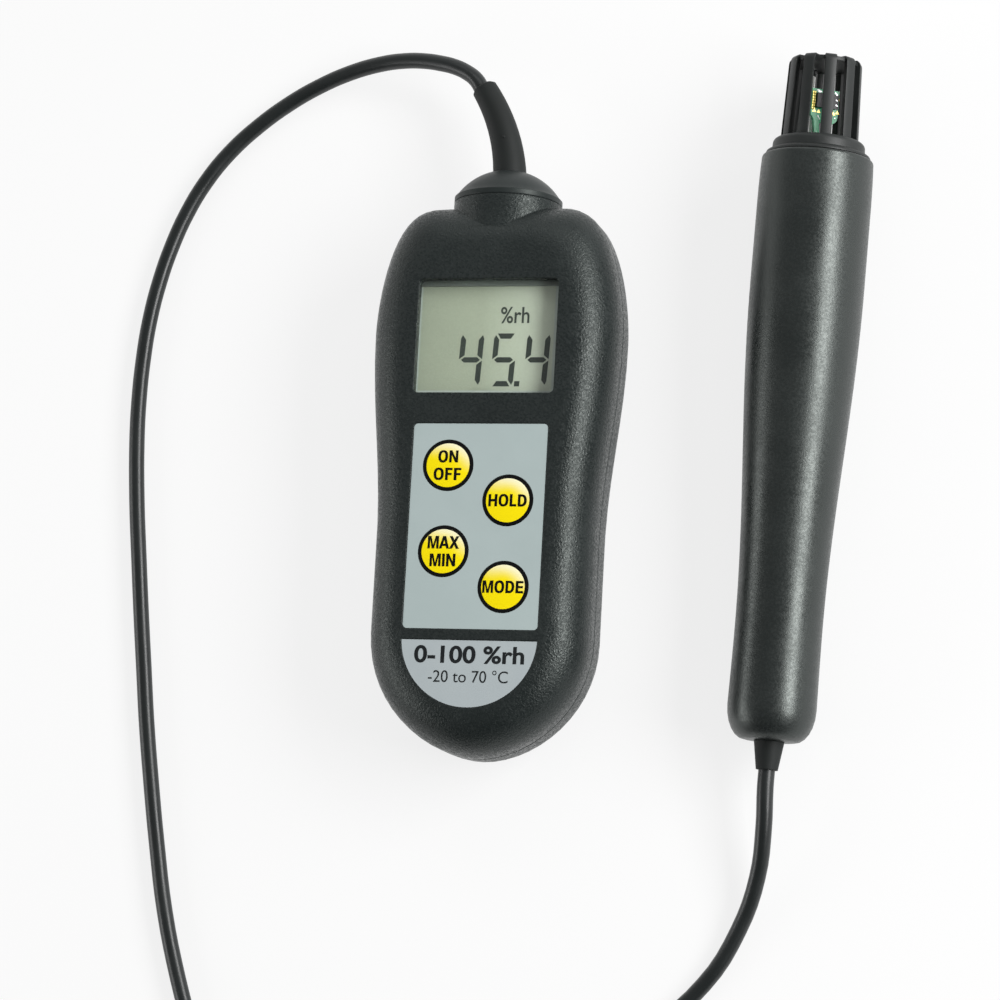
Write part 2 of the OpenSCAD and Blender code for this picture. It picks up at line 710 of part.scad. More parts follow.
// The probe lies on the surface at two places, so its tilt follows from its profile.
low_s = 6;
probe_slope = max([for (s = [60:2:handle_l - 4]) (handle_r(s) - handle_r(low_s)) / (s - low_s)]);
probe_tilt = atan(probe_slope);
low_height = (handle_r(low_s) + 0.02) / cos(probe_tilt) - low_s * probe_slope;
module probe() {
  translate([probe_x, probe_y, low_height]) rotate([probe_tilt, 0, 0]) rotate([-90, 0, 0]) children();
}
module turned_probe() {
  translate([probe_x, probe_y, 0]) rotate(-probe_turn) translate([-probe_x, -probe_y, 0]) probe() children();
}

// In the probe's own frame Z runs up the handle, from the lead end to the sensor, and -Y faces up.
handle_steps = 30;
rim_steps = 4;
end_round_r = 4;
end_round_l = 7;
rim_round = 0.6;
low_bore_r = 6.8;
bore_step_s = 62;
end_wall = 3;
grommet_r = 2.6;
module probe_handle() {
  outer = concat(
    [for (a = [0:15:75]) [handle_r(end_round_l) - end_round_r * (1 - sin(a)), end_round_l * (1 - cos(a))]],
    [for (i = [0:handle_steps]) let (s = end_round_l + (full_s - end_round_l) * i / handle_steps)
      [handle_r(s), s]],
    [for (i = [0:rim_steps]) let (s = draw_s + (handle_l - rim_round - draw_s) * i / rim_steps)
      [handle_r(s), s]],
    [for (a = [30:30:90])
      [handle_r(handle_l - rim_round) - rim_round * (1 - cos(a)), handle_l - rim_round * (1 - sin(a))]]);
  color(black) difference() {
    rotate_extrude($fn = 96) polygon(concat(outer, [[0, handle_l], [0, 0]]));
    translate([0, 0, end_wall]) cylinder(r = low_bore_r, h = bore_step_s - end_wall + 0.1);
    translate([0, 0, bore_step_s]) cylinder(r1 = low_bore_r, r2 = handle_bore_r, h = 6);
    translate([0, 0, bore_step_s + 5.99]) cylinder(r = handle_bore_r, h = handle_l);
    translate([0, 0, -1]) cylinder(r = grommet_r + 0.05, h = end_wall + 2);
  }
}

// The guard: a spigot in the handle, a flange on its rim, a collar, and ribs over the sensor.
flange_s = handle_l + 0.15;
flange_t = 1;
collar_top = flange_s + flange_t + 2.6;
guard_top = collar_top + guard_l;
guard_spigot = 9;
guard_in_r = guard_r - rib_t;
guard_tip_r = guard_r - guard_taper;
guard_disc_t = 0.8;
crown_step = 0.5;
disc_in = 0.7;
rib_round = 1.3;
collar_round = 1.1;
flange_r = handle_r(handle_l) - rim_round - 0.05;
rib_start = 1;
rib_in_r = 2.4;
seal_r = 0.75;
seal_s = handle_l - 4.5;
guard_spigot_r = handle_bore_r - fit_gap;
module sensor_guard() {
  color(black) union() {
    difference() {
      rotate_extrude($fn = 96) polygon(concat([
        [0, handle_l - guard_spigot], [guard_spigot_r - 0.6, handle_l - guard_spigot],
        [guard_spigot_r, handle_l - guard_spigot + 0.6], [guard_spigot_r, flange_s],
        [flange_r, flange_s], [flange_r - 0.05, flange_s + 0.35],
        [flange_r - 0.35, flange_s + 0.75], [collar_r + 0.5, flange_s + flange_t],
        [collar_r, flange_s + flange_t + 0.15]],
        [for (a = [0:22.5:90])
          [collar_r - collar_round * (1 - cos(a)), collar_top - collar_round * (1 - sin(a))]],
        [[0, collar_top]]));
      translate([0, 0, handle_l - guard_spigot - 1]) cylinder(r = guard_in_r, h = collar_top);
      translate([0, 0, seal_s]) rotate_extrude()
        translate([guard_spigot_r - seal_r * 0.9, 0]) circle(r = seal_r + 0.05, $fn = 24);
    }
    for (i = [0:guard_ribs - 1]) rotate(i * 360 / guard_ribs + rib_start) guard_rib();
    translate([0, 0, guard_top - crown_step - guard_disc_t])
      cylinder(r = guard_tip_r - disc_in, h = guard_disc_t);
  }
}

// A rib with a rounded shoulder, standing proud of the disc that joins them.
module guard_rib() {
  profile = concat(
    [[guard_in_r - guard_taper - 0.2, collar_top - 1], [guard_r, collar_top - 1]],
    [for (a = [0:15:90]) [guard_tip_r - rib_round * (1 - cos(a)), guard_top - rib_round * (1 - sin(a))]],
    [[rib_in_r, guard_top], [rib_in_r, guard_top - 1.2], [guard_in_r - guard_taper - 0.2, guard_top - 1.2]]);
  rotate([90, 0, 0]) translate([0, 0, -rib_w / 2]) linear_extrude(rib_w) polygon(profile);
}

module guard_seal() {
  color([0.2, 0.2, 0.2]) translate([0, 0, seal_s]) rotate_extrude()
    translate([guard_spigot_r - seal_r * 0.9, 0]) circle(r = seal_r, $fn = 24);
}

// One board: wide inside the handle, a thin stem through the carrier, and the head under the guard.
// The board faces up and a little away from the meter.
board_start = bore_step_s + 10;
board_low_w = 10;
sensor_turn = 27;
sensor_x = 0.9;
sensor_board_t = 1;
sensor_board_y = 1;
head_l = 6.6;
head_s = collar_top + 5.2;
neck_cut = 1.3;
stem_w = 3.2;
carrier_s = handle_l - guard_spigot - 5;
carrier_base_t = 4;
carrier_tube_r = guard_in_r - 0.4;
carrier_top = collar_top - 1.3;
module sensor_board() {
  half = sensor_w / 2;
  color([0.13, 0.5, 0.33]) rotate(sensor_turn) translate([sensor_x, sensor_board_y + sensor_board_t, 0])
    rotate([90, 0, 0]) linear_extrude(sensor_board_t) union() {
      polygon([[-stem_w / 2, head_s], [stem_w / 2, head_s], [half - 1, head_s], [half, head_s + 1],
        [half, head_s + head_l], [-half, head_s + head_l], [-half, head_s + neck_cut]]);
      translate([-stem_w / 2, carrier_s - neck_cut]) square([stem_w, head_s - carrier_s + 2 * neck_cut]);
      translate([-board_low_w / 2, board_start]) square([board_low_w, carrier_s - board_start]);
    }
}

// The plug that holds the board and the temperature sensor in the end of the handle.
module sensor_carrier() {
  color([0.16, 0.16, 0.17]) rotate(sensor_turn) difference() {
    union() {
      translate([0, 0, carrier_s]) cylinder(r = handle_bore_r, h = carrier_base_t);
      cylinder_between(carrier_s + carrier_base_t - 0.1, carrier_top, carrier_tube_r);
    }
    translate([sensor_x - stem_w / 2 - fit_gap, sensor_board_y - fit_gap, carrier_s - 1])
      cube([stem_w + 2 * fit_gap, sensor_board_t + 2 * fit_gap, carrier_top]);
    translate([bead_x, bead_y, carrier_top - 4]) cylinder(r = bead_lead_r + fit_gap, h = 10);
  }
}
module cylinder_between(low, high, r) { translate([0, 0, low]) cylinder(r = r, h = high - low); }

chip_w_s = 4.1;
chip_h_s = 3.1;
sensor_chip_t = 0.9;
chip_s = head_s + head_l / 2 + 0.7;
module on_sensor_board() {
  rotate(sensor_turn) translate([sensor_x, sensor_board_y, chip_s]) children();
}
module humidity_sensor() {
  color([0.08, 0.07, 0.08]) on_sensor_board() difference() {
    translate([-chip_w_s / 2, -sensor_chip_t, -chip_h_s / 2]) cube([chip_w_s, sensor_chip_t, chip_h_s]);
    rotate([90, 0, 0]) translate([0, 0, sensor_chip_t - 0.4]) cylinder(r = 0.7, h = 1);
  }
}

// Soldered pads round the sensor chip.
pad_t = 0.2;
module sensor_pads() {
  side_x = chip_w_s / 2 + 0.4;
  row_s = chip_h_s / 2 + 0.45;
  color("gold") on_sensor_board() for (side = [-1, 1]) {
    for (i = [-2:2]) translate([side * side_x - 0.3, -pad_t, i * 0.75 - 0.22]) cube([0.6, pad_t, 0.44]);
    for (i = [-1, 1]) translate([i * 1.2 - 0.35, -pad_t, side * row_s - 0.25]) cube([0.7, pad_t, 0.5]);
  }
}

// A thermistor bead on a sleeved lead, standing behind the board.
bead_x = -1.45;
bead_y = 2.9;
bead_lead_r = 0.27;
bead_r = 0.7;
bead_s = guard_top - crown_step - guard_disc_t - bead_r - 0.3;
module temperature_sensor() {
  color([0.9, 0.9, 0.88]) rotate(sensor_turn) translate([bead_x, bead_y, 0]) {
    cylinder_between(carrier_top - 4, bead_s, bead_lead_r);
    translate([0, 0, bead_s]) sphere(r = bead_r);
  }
}

grommet_out = 6;
grommet_flange_t = 1.2;
grommet_tip_r = cord_d / 2 + 0.55;
module probe_grommet() {
  color(black) union() {
    cylinder(r = grommet_r, h = end_wall);
    translate([0, 0, end_wall]) cylinder(r = grommet_r + 1, h = grommet_flange_t);
    translate([0, 0, -grommet_out]) cylinder(r1 = grommet_tip_r, r2 = grommet_r + 0.6, h = grommet_out);
  }
}

module probe_wires() {
  wire_colours = ["red", "white", "green", "yellow"];
  wire_pitch = 2.4 * wire_r;
  for (i = [0:3]) let (x = (i - 1.5) * wire_pitch, y = sensor_board_y - wire_r, points = [
      [x, 0, end_wall + grommet_flange_t], [x, 0, end_wall + 3 * grommet_flange_t],
      [1.4 * x, y / 2, (end_wall + board_start) / 2],
      [1.6 * x, y, board_start - wire_r], [1.6 * x, y, board_start + 3 * wire_pitch]])
    color(wire_colours[i]) rotate(sensor_turn) tube(points, same(wire_r, points), 8, [1, 0, 0]);
}

// A point on the probe's axis, from the lead end up.
function probe_at(s) = [probe_x, probe_y, low_height]
  + s * [sin(probe_turn) * cos(probe_tilt), cos(probe_turn) * cos(probe_tilt), sin(probe_tilt)];

// The lead. Its route is chosen by hand: off the strain relief, down to the surface, round the
// meter's left, into a tied coil, and back to the probe.
coil_middle = [-30, -152];
coil_r = 25;
coil_turns = 4.5;
coil_step = 4;
coil_low = 2.65;
lead_side = 0.5;
lead_start = relief_tip + lead_side * unit(cross([0, 0, 1], relief_way));
meter_route = concat([lead_start, lead_start + 2.4 * relief_way], [
  [-11.3, 87.4, 10.7], [-14.5, 88.7, 10.1], [-17.9, 89.8, 9.3], [-22, 90.7, 8.4], [-27, 91.2, 7.2],
  [-33, 91, 5.7], [-40.4, 89.6, 4.1], [-47.8, 87, 2.8], [-54.9, 83.3, 2], [-61.6, 78.5, 1.75],
  [-68.1, 72.4, 1.75], [-73.4, 65.5, 1.75], [-77.3, 58.4, 1.75], [-80.3, 50.8, 1.75],
  [-82.6, 42.8, 1.75], [-84.3, 33.9, 1.75],
  [-85.2, 24.6, 1.75], [-85.5, 15.5, 1.75], [-85.3, 6.5, 1.75], [-84.3, -7, 1.75], [-82.8, -20.5, 1.75],
  [-81.2, -34, 1.75], [-79.8, -45, 1.75], [-78.4, -56, 1.75], [-76.4, -69, 1.75], [-74, -83, 1.75],
  [-71, -98, 1.75], [-67, -112, 1.75], [-62, -126, 1.9], [-57.5, -138, 2.3], [-55, -148.5, 2.65],
  [-55, -152, 2.65]]);
probe_route = concat([
  [-5, -152, 6.65], [-5, -148.5, 6.6], [-3.5, -140, 4.6], [2, -131, 2.4], [12, -124.5, 1.8],
  [25, -121.5, 1.75], [38, -117.5, 1.75], [48.5, -108.5, 1.75], [55.5, -97, 2.4], [59.4, -86, 4.6],
  [60.8, -76, 7.4]],
  [probe_at(-grommet_out - cord_d), probe_at(-grommet_out)]);

// Smooth points between hand-chosen ones.
function smooth_at(p, i, u) =
  let (a = p[max(i - 1, 0)], b = p[i], c = p[i + 1], d = p[min(i + 2, len(p) - 1)])
  0.5 * (2 * b + (c - a) * u + (2 * a - 5 * b + 4 * c - d) * u * u + (3 * b - a - 3 * c + d) * u * u * u);
function smooth(p, n) = concat(
  [for (i = [0:len(p) - 2]) for (j = [0:n - 1]) smooth_at(p, i, j / n)],
  [p[len(p) - 1]]);

// The coil spirals in on the surface, climbs a layer in half a turn, and spirals out again.
coil_layer = cord_d + 0.5;
coil_half = coil_turns / 2;
function coil_point(u) = let (r = coil_r - coil_step * (coil_half - abs(coil_half - u)), a = 180 + 360 * u)
  [coil_middle.x + r * cos(a), coil_middle.y + r * sin(a),
   coil_low + coil_layer * ease((u - coil_half + 0.25) / 0.5)];
coil_rings = 24;
coil_points = [for (i = [0:coil_rings * coil_turns]) coil_point(i / coil_rings)];
coil_gap = min([for (i = [0:len(coil_points) - 1]) for (j = [i + coil_rings / 2:len(coil_points) - 1])
  norm(coil_points[i] - coil_points[j])]) - cord_d;
function sum(list) = list * [for (v = list) 1];
function length_of(p) = sum([for (i = [1:len(p) - 1]) norm(p[i] - p[i - 1])]);
echo(least_gap_in_coil = coil_gap, least_gap_in_spring = spring_l / spring_turns - spring_wire_d);
echo(lead_length = length_of(smooth(meter_route, 4)) + length_of(coil_points)
                 + length_of(smooth(probe_route, 4)));

module cord(points, sides) { color([0.1, 0.1, 0.1]) tube(points, same(cord_d / 2, points), sides); }

// A strap round all the turns of the coil, under the lowest and over the highest.
tie_w = 5;
tie_t = 0.7;
module cord_tie() {
  low = coil_low - cord_d / 2 - tie_t - 0.2;
  high = coil_low + coil_layer + cord_d / 2 + 0.3;
  inner = coil_r - coil_step * coil_turns / 2 - cord_d / 2 - 0.4;
  outer = coil_r - coil_step / 4 + cord_d / 2 + 0.6;
  color([0.08, 0.08, 0.08]) translate([coil_middle.x, coil_middle.y, 0]) rotate(-90)
    translate([0, tie_w / 2, 0]) rotate([90, 0, 0]) linear_extrude(tie_w) difference() {
      translate([inner - tie_t, low]) square([outer - inner + 2 * tie_t, high - low + tie_t]);
      translate([inner, low + tie_t]) square([outer - inner, high - low - tie_t]);
    }
}

front_shell();
rear_shell();
end_cap();
strain_relief();
display_window();
lcd_cell();
lcd_frame();
contact_strips();
keypad_overlay();
bottom_label();
circuit_board();
main_chip();
small_chips();
switch_housings();
board_screws();
case_screws();
battery_springs();
battery_plates();
battery_cover();
signal_wires();
for (i = [0:3]) key(i);
for (i = [0:3]) plunger(i);
for (i = [1:battery_count]) battery(i);
turned_probe() probe_handle();
turned_probe() sensor_guard();
turned_probe() guard_seal();
turned_probe() sensor_board();
turned_probe() humidity_sensor();
turned_probe() sensor_pads();
turned_probe() temperature_sensor();
turned_probe() sensor_carrier();
turned_probe() probe_grommet();
turned_probe() probe_wires();
cord(meter_route, 8);  // cord_meter_run
cord(coil_points, 6);  // cord_coil
cord(smooth(probe_route, 2), 8);  // cord_probe_run
cord_tie();
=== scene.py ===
# Thermo-hygrometer: the finish of the hand meter, its probe and the lead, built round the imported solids.
import math

import bpy
from mathutils import Matrix, Vector


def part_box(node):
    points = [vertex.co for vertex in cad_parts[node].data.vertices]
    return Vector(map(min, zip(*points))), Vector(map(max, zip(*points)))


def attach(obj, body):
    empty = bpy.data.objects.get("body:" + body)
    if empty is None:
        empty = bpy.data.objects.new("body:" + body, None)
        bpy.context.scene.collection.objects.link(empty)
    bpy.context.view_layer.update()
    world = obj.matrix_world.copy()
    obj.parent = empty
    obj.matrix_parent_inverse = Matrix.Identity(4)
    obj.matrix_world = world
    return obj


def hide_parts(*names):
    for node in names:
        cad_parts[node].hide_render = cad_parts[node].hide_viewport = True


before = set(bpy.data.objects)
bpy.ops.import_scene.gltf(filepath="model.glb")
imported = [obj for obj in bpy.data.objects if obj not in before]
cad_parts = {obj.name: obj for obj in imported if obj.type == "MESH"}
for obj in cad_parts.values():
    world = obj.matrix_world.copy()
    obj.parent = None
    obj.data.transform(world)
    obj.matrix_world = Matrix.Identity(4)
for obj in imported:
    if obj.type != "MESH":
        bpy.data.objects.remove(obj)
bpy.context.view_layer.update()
mm = 0.001


def newObject(name, data):
    piece = bpy.data.objects.new(name, data)
    bpy.context.collection.objects.link(piece)
    return piece


# The camera stands above the meter, a little below its middle and to the right
camera = {
    "place": (203.0, -147.2, 774.2),
    "yaw": 14.8,
    "pitch": 10.0,
    "roll": 3.16,
    "lens": 135.0,
    "sensor": 36.0,
}


def makeCamera():
    yaw, pitch, roll = (math.radians(camera[name]) for name in ("yaw", "pitch", "roll"))
    back = Vector((math.sin(yaw) * math.cos(pitch), -math.sin(pitch), math.cos(yaw) * math.cos(pitch)))
    across = Vector((0, 1, 0)).cross(back).normalized()
    up = back.cross(across)
    right = math.cos(roll) * across + math.sin(roll) * up
    top = math.cos(roll) * up - math.sin(roll) * across
    data = bpy.data.cameras.new("camera")
    data.lens = camera["lens"]
    data.sensor_width = camera["sensor"]
    data.clip_start = 0.01
    piece = newObject("camera", data)
    turn = Matrix((right, top, back)).transposed().to_4x4()
    piece.matrix_world = Matrix.Translation(Vector(camera["place"]) * mm) @ turn
    bpy.context.scene.camera = piece


makeCamera()
print("camera placed")


# Colours and shader nodes
def linear(hexColour):
    parts = [int(hexColour[i:i + 2], 16) / 255 for i in (1, 3, 5)]
    return [p / 12.92 if p <= 0.04045 else ((p + 0.055) / 1.055) ** 2.4 for p in parts] + [1.0]


def add(tree, kind, settings, links=None):
    node = tree.nodes.new("ShaderNode" + kind)
    for name, value in settings.items():
        if isinstance(value, str) and value.startswith("#"):
            value = linear(value)
        if isinstance(name, int) or name in node.inputs:
            node.inputs[name].default_value = value
        else:
            setattr(node, name, value)
    for name, source in (links or {}).items():
        tree.links.new(source, node.inputs[name])
    return node


# A finish sets each input of the shader: to a node's output, a colour or a plain value
def finish(tree, shader, values):
    for name, value in values.items():
        if isinstance(value, bpy.types.NodeSocket):
            tree.links.new(value, shader.inputs[name])
        else:
            shader.inputs[name].default_value = linear(value) if isinstance(value, str) else value


def newMaterial(name):
    material = bpy.data.materials.new(name)
    material.use_nodes = True
    tree = material.node_tree
    return material, tree, tree.nodes["Principled BSDF"]


def colourMix(tree, factor, first, second, low=0.0, high=1.0):
    spread = add(tree, "MapRange", {"From Min": low, "From Max": high}, {"Value": factor})
    links = {"Factor": spread.outputs["Result"]}
    settings = {"data_type": "RGBA"}
    for socket, colour in ((6, first), (7, second)):
        if isinstance(colour, str):
            settings[socket] = colour
        else:
            links[socket] = colour
    return add(tree, "Mix", settings, links).outputs[2]


# How the finishes drift: the size of a patch in mm, the part of a noise's levels that is used, narrow or
# wide, and how far the roughness goes to each side. The sparkle's spots are a little wider than the grain.
drift = {
    "patch": 14,
    "narrow": (0.35, 0.65),
    "wide": (0.3, 0.7),
    "plasticRough": 0.06,
    "metalRough": 0.08,
    "spotWider": 1.3,
    "edgeSamples": 4,
}


# A grained plastic: a fine bump of that grain and depth in mm, a colour and a roughness that drift a little,
# spots that are smoother and rougher by the sparkle, softened edges, and the tint of its shine
def grained(name, colour, lighter, roughness, grain, depth, edge=0.0, ior=1.5, sparkle=0.0, tint="#ffffff"):
    material, tree, shader = newMaterial(name)
    here = {"Vector": add(tree, "TexCoord", {}).outputs["Object"]}
    fine = add(tree, "TexNoise", {"Scale": 1 / (grain * mm), "Detail": 2.0, "Roughness": 0.6}, here)
    broad = add(tree, "TexNoise", {"Scale": 1 / (drift["patch"] * mm), "Detail": 4.0, "Roughness": 0.6}, here)
    spots = add(tree, "TexNoise", {"Scale": 1 / (drift["spotWider"] * grain * mm), "Detail": 1.0}, here)
    shade = colourMix(tree, broad.outputs["Fac"], colour, lighter, *drift["narrow"])
    smoothest, roughest = roughness - drift["plasticRough"], roughness + drift["plasticRough"]
    low, high = drift["wide"]
    rough = add(tree, "MapRange", {"From Min": low, "From Max": high, "To Min": smoothest,
                                   "To Max": roughest}, {"Value": broad.outputs["Fac"]})
    low, high = drift["narrow"]
    shine = add(tree, "MapRange", {"From Min": low, "From Max": high, "To Min": -sparkle, "To Max": sparkle},
                {"Value": spots.outputs["Fac"]})
    total = add(tree, "Math", {"operation": "ADD"}, {0: rough.outputs["Result"], 1: shine.outputs["Result"]})
    bump = add(tree, "Bump", {"Strength": 1.0, "Distance": depth * mm}, {"Height": fine.outputs["Fac"]})
    if edge:
        soft = add(tree, "Bevel", {"samples": drift["edgeSamples"], "Radius": edge * mm})
        tree.links.new(soft.outputs["Normal"], bump.inputs["Normal"])
    finish(tree, shader, {"Base Color": shade, "Roughness": total.outputs[0], "Normal": bump.outputs[0],
                          "IOR": ior, "Specular Tint": tint})
    return material


# A metal whose colour and roughness drift with that grain in mm
def metal(name, colour, lighter, roughness, grain, edge=0.1):
    material, tree, shader = newMaterial(name)
    here = {"Vector": add(tree, "TexCoord", {}).outputs["Object"]}
    fine = add(tree, "TexNoise", {"Scale": 1 / (grain * mm), "Detail": 3.0}, here)
    shade = colourMix(tree, fine.outputs["Fac"], colour, lighter, *drift["wide"])
    smoothest, roughest = roughness - drift["metalRough"], roughness + drift["metalRough"]
    rough = add(tree, "MapRange", {"To Min": smoothest, "To Max": roughest}, {"Value": fine.outputs["Fac"]})
    soft = add(tree, "Bevel", {"samples": drift["edgeSamples"], "Radius": edge * mm})
    finish(tree, shader, {"Base Color": shade, "Roughness": rough.outputs["Result"],
                          "Normal": soft.outputs["Normal"], "Metallic": 1.0})
    return material


# Injection moulded ABS from a spark-eroded tool: dull and near black on the flat, and it sparkles
# where a lamp grazes it. The pits are drawn at 0.44 mm so that they show.
caseAbs = grained("caseAbs", "#1f2424", "#232828", 0.34, 0.44, 0.13, edge=0.4, ior=1.45, sparkle=0.14,
                  tint="#f2faf5")
# The end cap is polished in its mould, so it has no sparkle
capAbs = grained("capAbs", "#1f2424", "#232828", 0.42, 0.34, 0.015, edge=0.3, ior=1.42, tint="#f2faf5")
# The handle comes from a finer tool, so it has a softer sheen
handleAbs = grained("handleAbs", "#171b1b", "#1b1f1f", 0.36, 0.4, 0.03, edge=0.3, ior=1.68, sparkle=0.06,
                    tint="#f2faf5")
# The guard is glass-filled nylon: greyer and duller
guardNylon = grained("guardNylon", "#171b1a", "#1e2221", 0.46, 0.26, 0.01, edge=0.12, ior=1.48)
# Soft moulded PVC of the strain reliefs, which is dull, and the lead's extruded PVC, which shines a little
reliefPvc = grained("reliefPvc", "#151918", "#181c1b", 0.6, 0.3, 0.01, edge=0.35, ior=1.4)
leadPvc = grained("leadPvc", "#1b1f1f", "#1f2323", 0.34, 0.9, 0.01, ior=1.5)
# Moulded nylon inside the meter: dark and satin
innerNylon = grained("innerNylon", "#26272a", "#2e2f32", 0.5, 0.5, 0.01)
# The printed mask round the display: a flat grey, partly painted shade, as its strip under the window's top
# edge is coloured as the shade that the window's wall casts on the cell
maskPrintAndShade = grained("maskPrintAndShade", "#5d625d", "#636862", 0.55, 0.4, 0.003)
# Moulded epoxy of the chips, nearly black, and the rubbers: nitrile for the seal, pink silicone for the cell
chipEpoxy = grained("chipEpoxy", "#171619", "#201e20", 0.45, 0.12, 0.006)
sealRubber = grained("sealRubber", "#141515", "#1b1c1c", 0.6, 0.25, 0.01)
contactRubber = grained("contactRubber", "#c98a94", "#d69aa2", 0.6, 0.2, 0.01)
# A white tube of PTFE, and a cast drop of epoxy that shines
sleevePtfe = grained("sleevePtfe", "#f4f6f1", "#fbfcf8", 0.35, 0.3, 0.004)
beadEpoxy = grained("beadEpoxy", "#2b2c2e", "#3a3b3d", 0.2, 0.3, 0.01)
# Screen printed polyester with a matt face, and the inks: flat black, a softer black, and the cell's crystal,
# which never gets quite black
overlayPolyester = grained("overlayPolyester", "#adbbba", "#b0bebd", 0.55, 0.25, 0.003)
labelPolyester = grained("labelPolyester", "#aeb7ba", "#b2bbbd", 0.55, 0.25, 0.003)
keyInk = grained("keyInk", "#030304", "#060607", 0.5, 0.4, 0.002, ior=1.25)
labelInk = grained("labelInk", "#15191b", "#191d1f", 0.5, 0.3, 0.002, ior=1.35)
cellInk = grained("cellInk", "#262c27", "#2a302b", 0.45, 0.3, 0.001, ior=1.4)
# Clear green lacquer over glass fibre, bright with a satin shine, and the wires' extruded PVC
solderMask = grained("solderMask", "#2c9a68", "#36a873", 0.3, 1.1, 0.015)
wireRed = grained("wireRed", "#9c1f1d", "#a82a26", 0.35, 0.4, 0.004)
wireWhite = grained("wireWhite", "#d9d9d4", "#e4e4df", 0.35, 0.4, 0.004)
wireGreen = grained("wireGreen", "#1f7a3c", "#298a48", 0.35, 0.4, 0.004)
wireYellow = grained("wireYellow", "#cfa91c", "#dbb62a", 0.35, 0.4, 0.004)
# Plated and drawn metals: a soft shine that their grain breaks up
zincSteel = metal("zincSteel", "#b9bcc0", "#c9ccd0", 0.32, 0.5)
springSteel = metal("springSteel", "#c4c4c6", "#d4d4d6", 0.25, 0.3)
goldPlate = metal("goldPlate", "#f3d77a", "#fdeb9c", 0.4, 0.2, edge=0.04)
solder = metal("solder", "#e3e5e6", "#f2f3f4", 0.42, 0.15, edge=0.05)


# Printed yellow polyester over a formed dome, with a painted highlight: the yellow pales towards the upper
# right of each key, that many degrees round from its right side, as a painted sheen of the dome. Each fade
# gives where it starts and ends, in radii from the key's middle.
keyPrintAndSheen = {
    "yellow": "#ffe800",
    "pale": "#fffad2",
    "paleWay": 68,
    "sideFade": (-0.05, 1.05),
    "rimFade": (0.25, 1.0),
    "grain": 0.5,
    "depth": 0.003,
}


def makeKeyYellow(name, centre, radius):
    material, tree, shader = newMaterial(name)
    place = add(tree, "TexCoord", {})
    local = add(tree, "Mapping", {"Location": (-centre.x / radius, -centre.y / radius, 0),
                                  "Scale": (1 / radius, 1 / radius, 0)}, {"Vector": place.outputs["Object"]})
    pale = math.radians(keyPrintAndSheen["paleWay"])
    way = add(tree, "VectorMath", {"operation": "DOT_PRODUCT", 1: (math.cos(pale), math.sin(pale), 0)},
              {0: local.outputs["Vector"]})
    out = add(tree, "VectorMath", {"operation": "LENGTH"}, {0: local.outputs["Vector"]})
    fades = []
    for fade, distance in (("sideFade", way), ("rimFade", out)):
        low, high = keyPrintAndSheen[fade]
        fades.append(add(tree, "MapRange", {"interpolation_type": "SMOOTHSTEP", "From Min": low,
                                            "From Max": high}, {"Value": distance.outputs["Value"]}))
    both = add(tree, "Math", {"operation": "MULTIPLY"}, {i: fade.outputs[0] for i, fade in enumerate(fades)})
    # Painted highlight: the yellow pales to the sheen's colour towards the upper right
    colours = colourMix(tree, both.outputs["Value"], keyPrintAndSheen["yellow"], keyPrintAndSheen["pale"])
    grain = add(tree, "TexNoise", {"Scale": 1 / (keyPrintAndSheen["grain"] * mm), "Detail": 2.0},
                {"Vector": place.outputs["Object"]})
    bump = add(tree, "Bump", {"Strength": 1.0, "Distance": keyPrintAndSheen["depth"] * mm},
               {"Height": grain.outputs["Fac"]})
    finish(tree, shader, {"Base Color": colours, "Normal": bump.outputs["Normal"], "Roughness": 0.4,
                          "IOR": 1.3})
    return material


# Reflective liquid crystal cell: grey-green, and painted paler to the right as painted light against the shadow
# that the window's wall casts on that side, with a pale line just inside its mask. The clear part runs from one
# corner to the other, in mm.
cellFace = {
    "clearLow": (-15.25, 13.75),
    "clearHigh": (13.75, 40.0),
    "left": ("#9ea18f", "#a4a795"),
    # The right colours are lighter by painted light, against the shadow of the window's wall there
    "right": ("#c0c2b2", "#c6c8b9"),
    "paintedLightFade": (-0.1, 0.95),
    # A pale line round the clear part, just inside the mask, of that colour and width in mm
    "seal": "#b6bab6",
    "sealWide": 0.3,
    "grain": 0.35,
}


def makeCellGlass():
    material, tree, shader = newMaterial("cellGlass")
    low, high = (Vector(corner) * mm for corner in (cellFace["clearLow"], cellFace["clearHigh"]))
    middle = (low + high) / 2
    half = (high - low) / 2
    place = add(tree, "TexCoord", {})
    local = add(tree, "Mapping", {"Location": (-middle.x / half.x, -middle.y / half.y, 0),
                                  "Scale": (1 / half.x, 1 / half.y, 0)}, {"Vector": place.outputs["Object"]})
    axes = add(tree, "SeparateXYZ", {}, {0: local.outputs["Vector"]})
    across = add(tree, "Math", {"operation": "ABSOLUTE"}, {0: axes.outputs["X"]})
    along = add(tree, "Math", {"operation": "ABSOLUTE"}, {0: axes.outputs["Y"]})
    edge = add(tree, "Math", {"operation": "MAXIMUM"}, {0: across.outputs[0], 1: along.outputs[0]})
    grain = add(tree, "TexNoise", {"Scale": 1 / (cellFace["grain"] * mm), "Detail": 2.0},
                {"Vector": place.outputs["Object"]})
    left, right = (colourMix(tree, grain.outputs["Fac"], *cellFace[side], *drift["wide"])
                   for side in ("left", "right"))
    # Painted light: the face pales from the left colours to the right ones, offsetting the wall's shadow
    face = colourMix(tree, axes.outputs["X"], left, right, *cellFace["paintedLightFade"])
    edged = colourMix(tree, edge.outputs["Value"], face, cellFace["seal"], 1.0,
                       1.0 + cellFace["sealWide"] * mm / half.x)
    finish(tree, shader, {"Base Color": edged, "Roughness": 0.4})
    return material


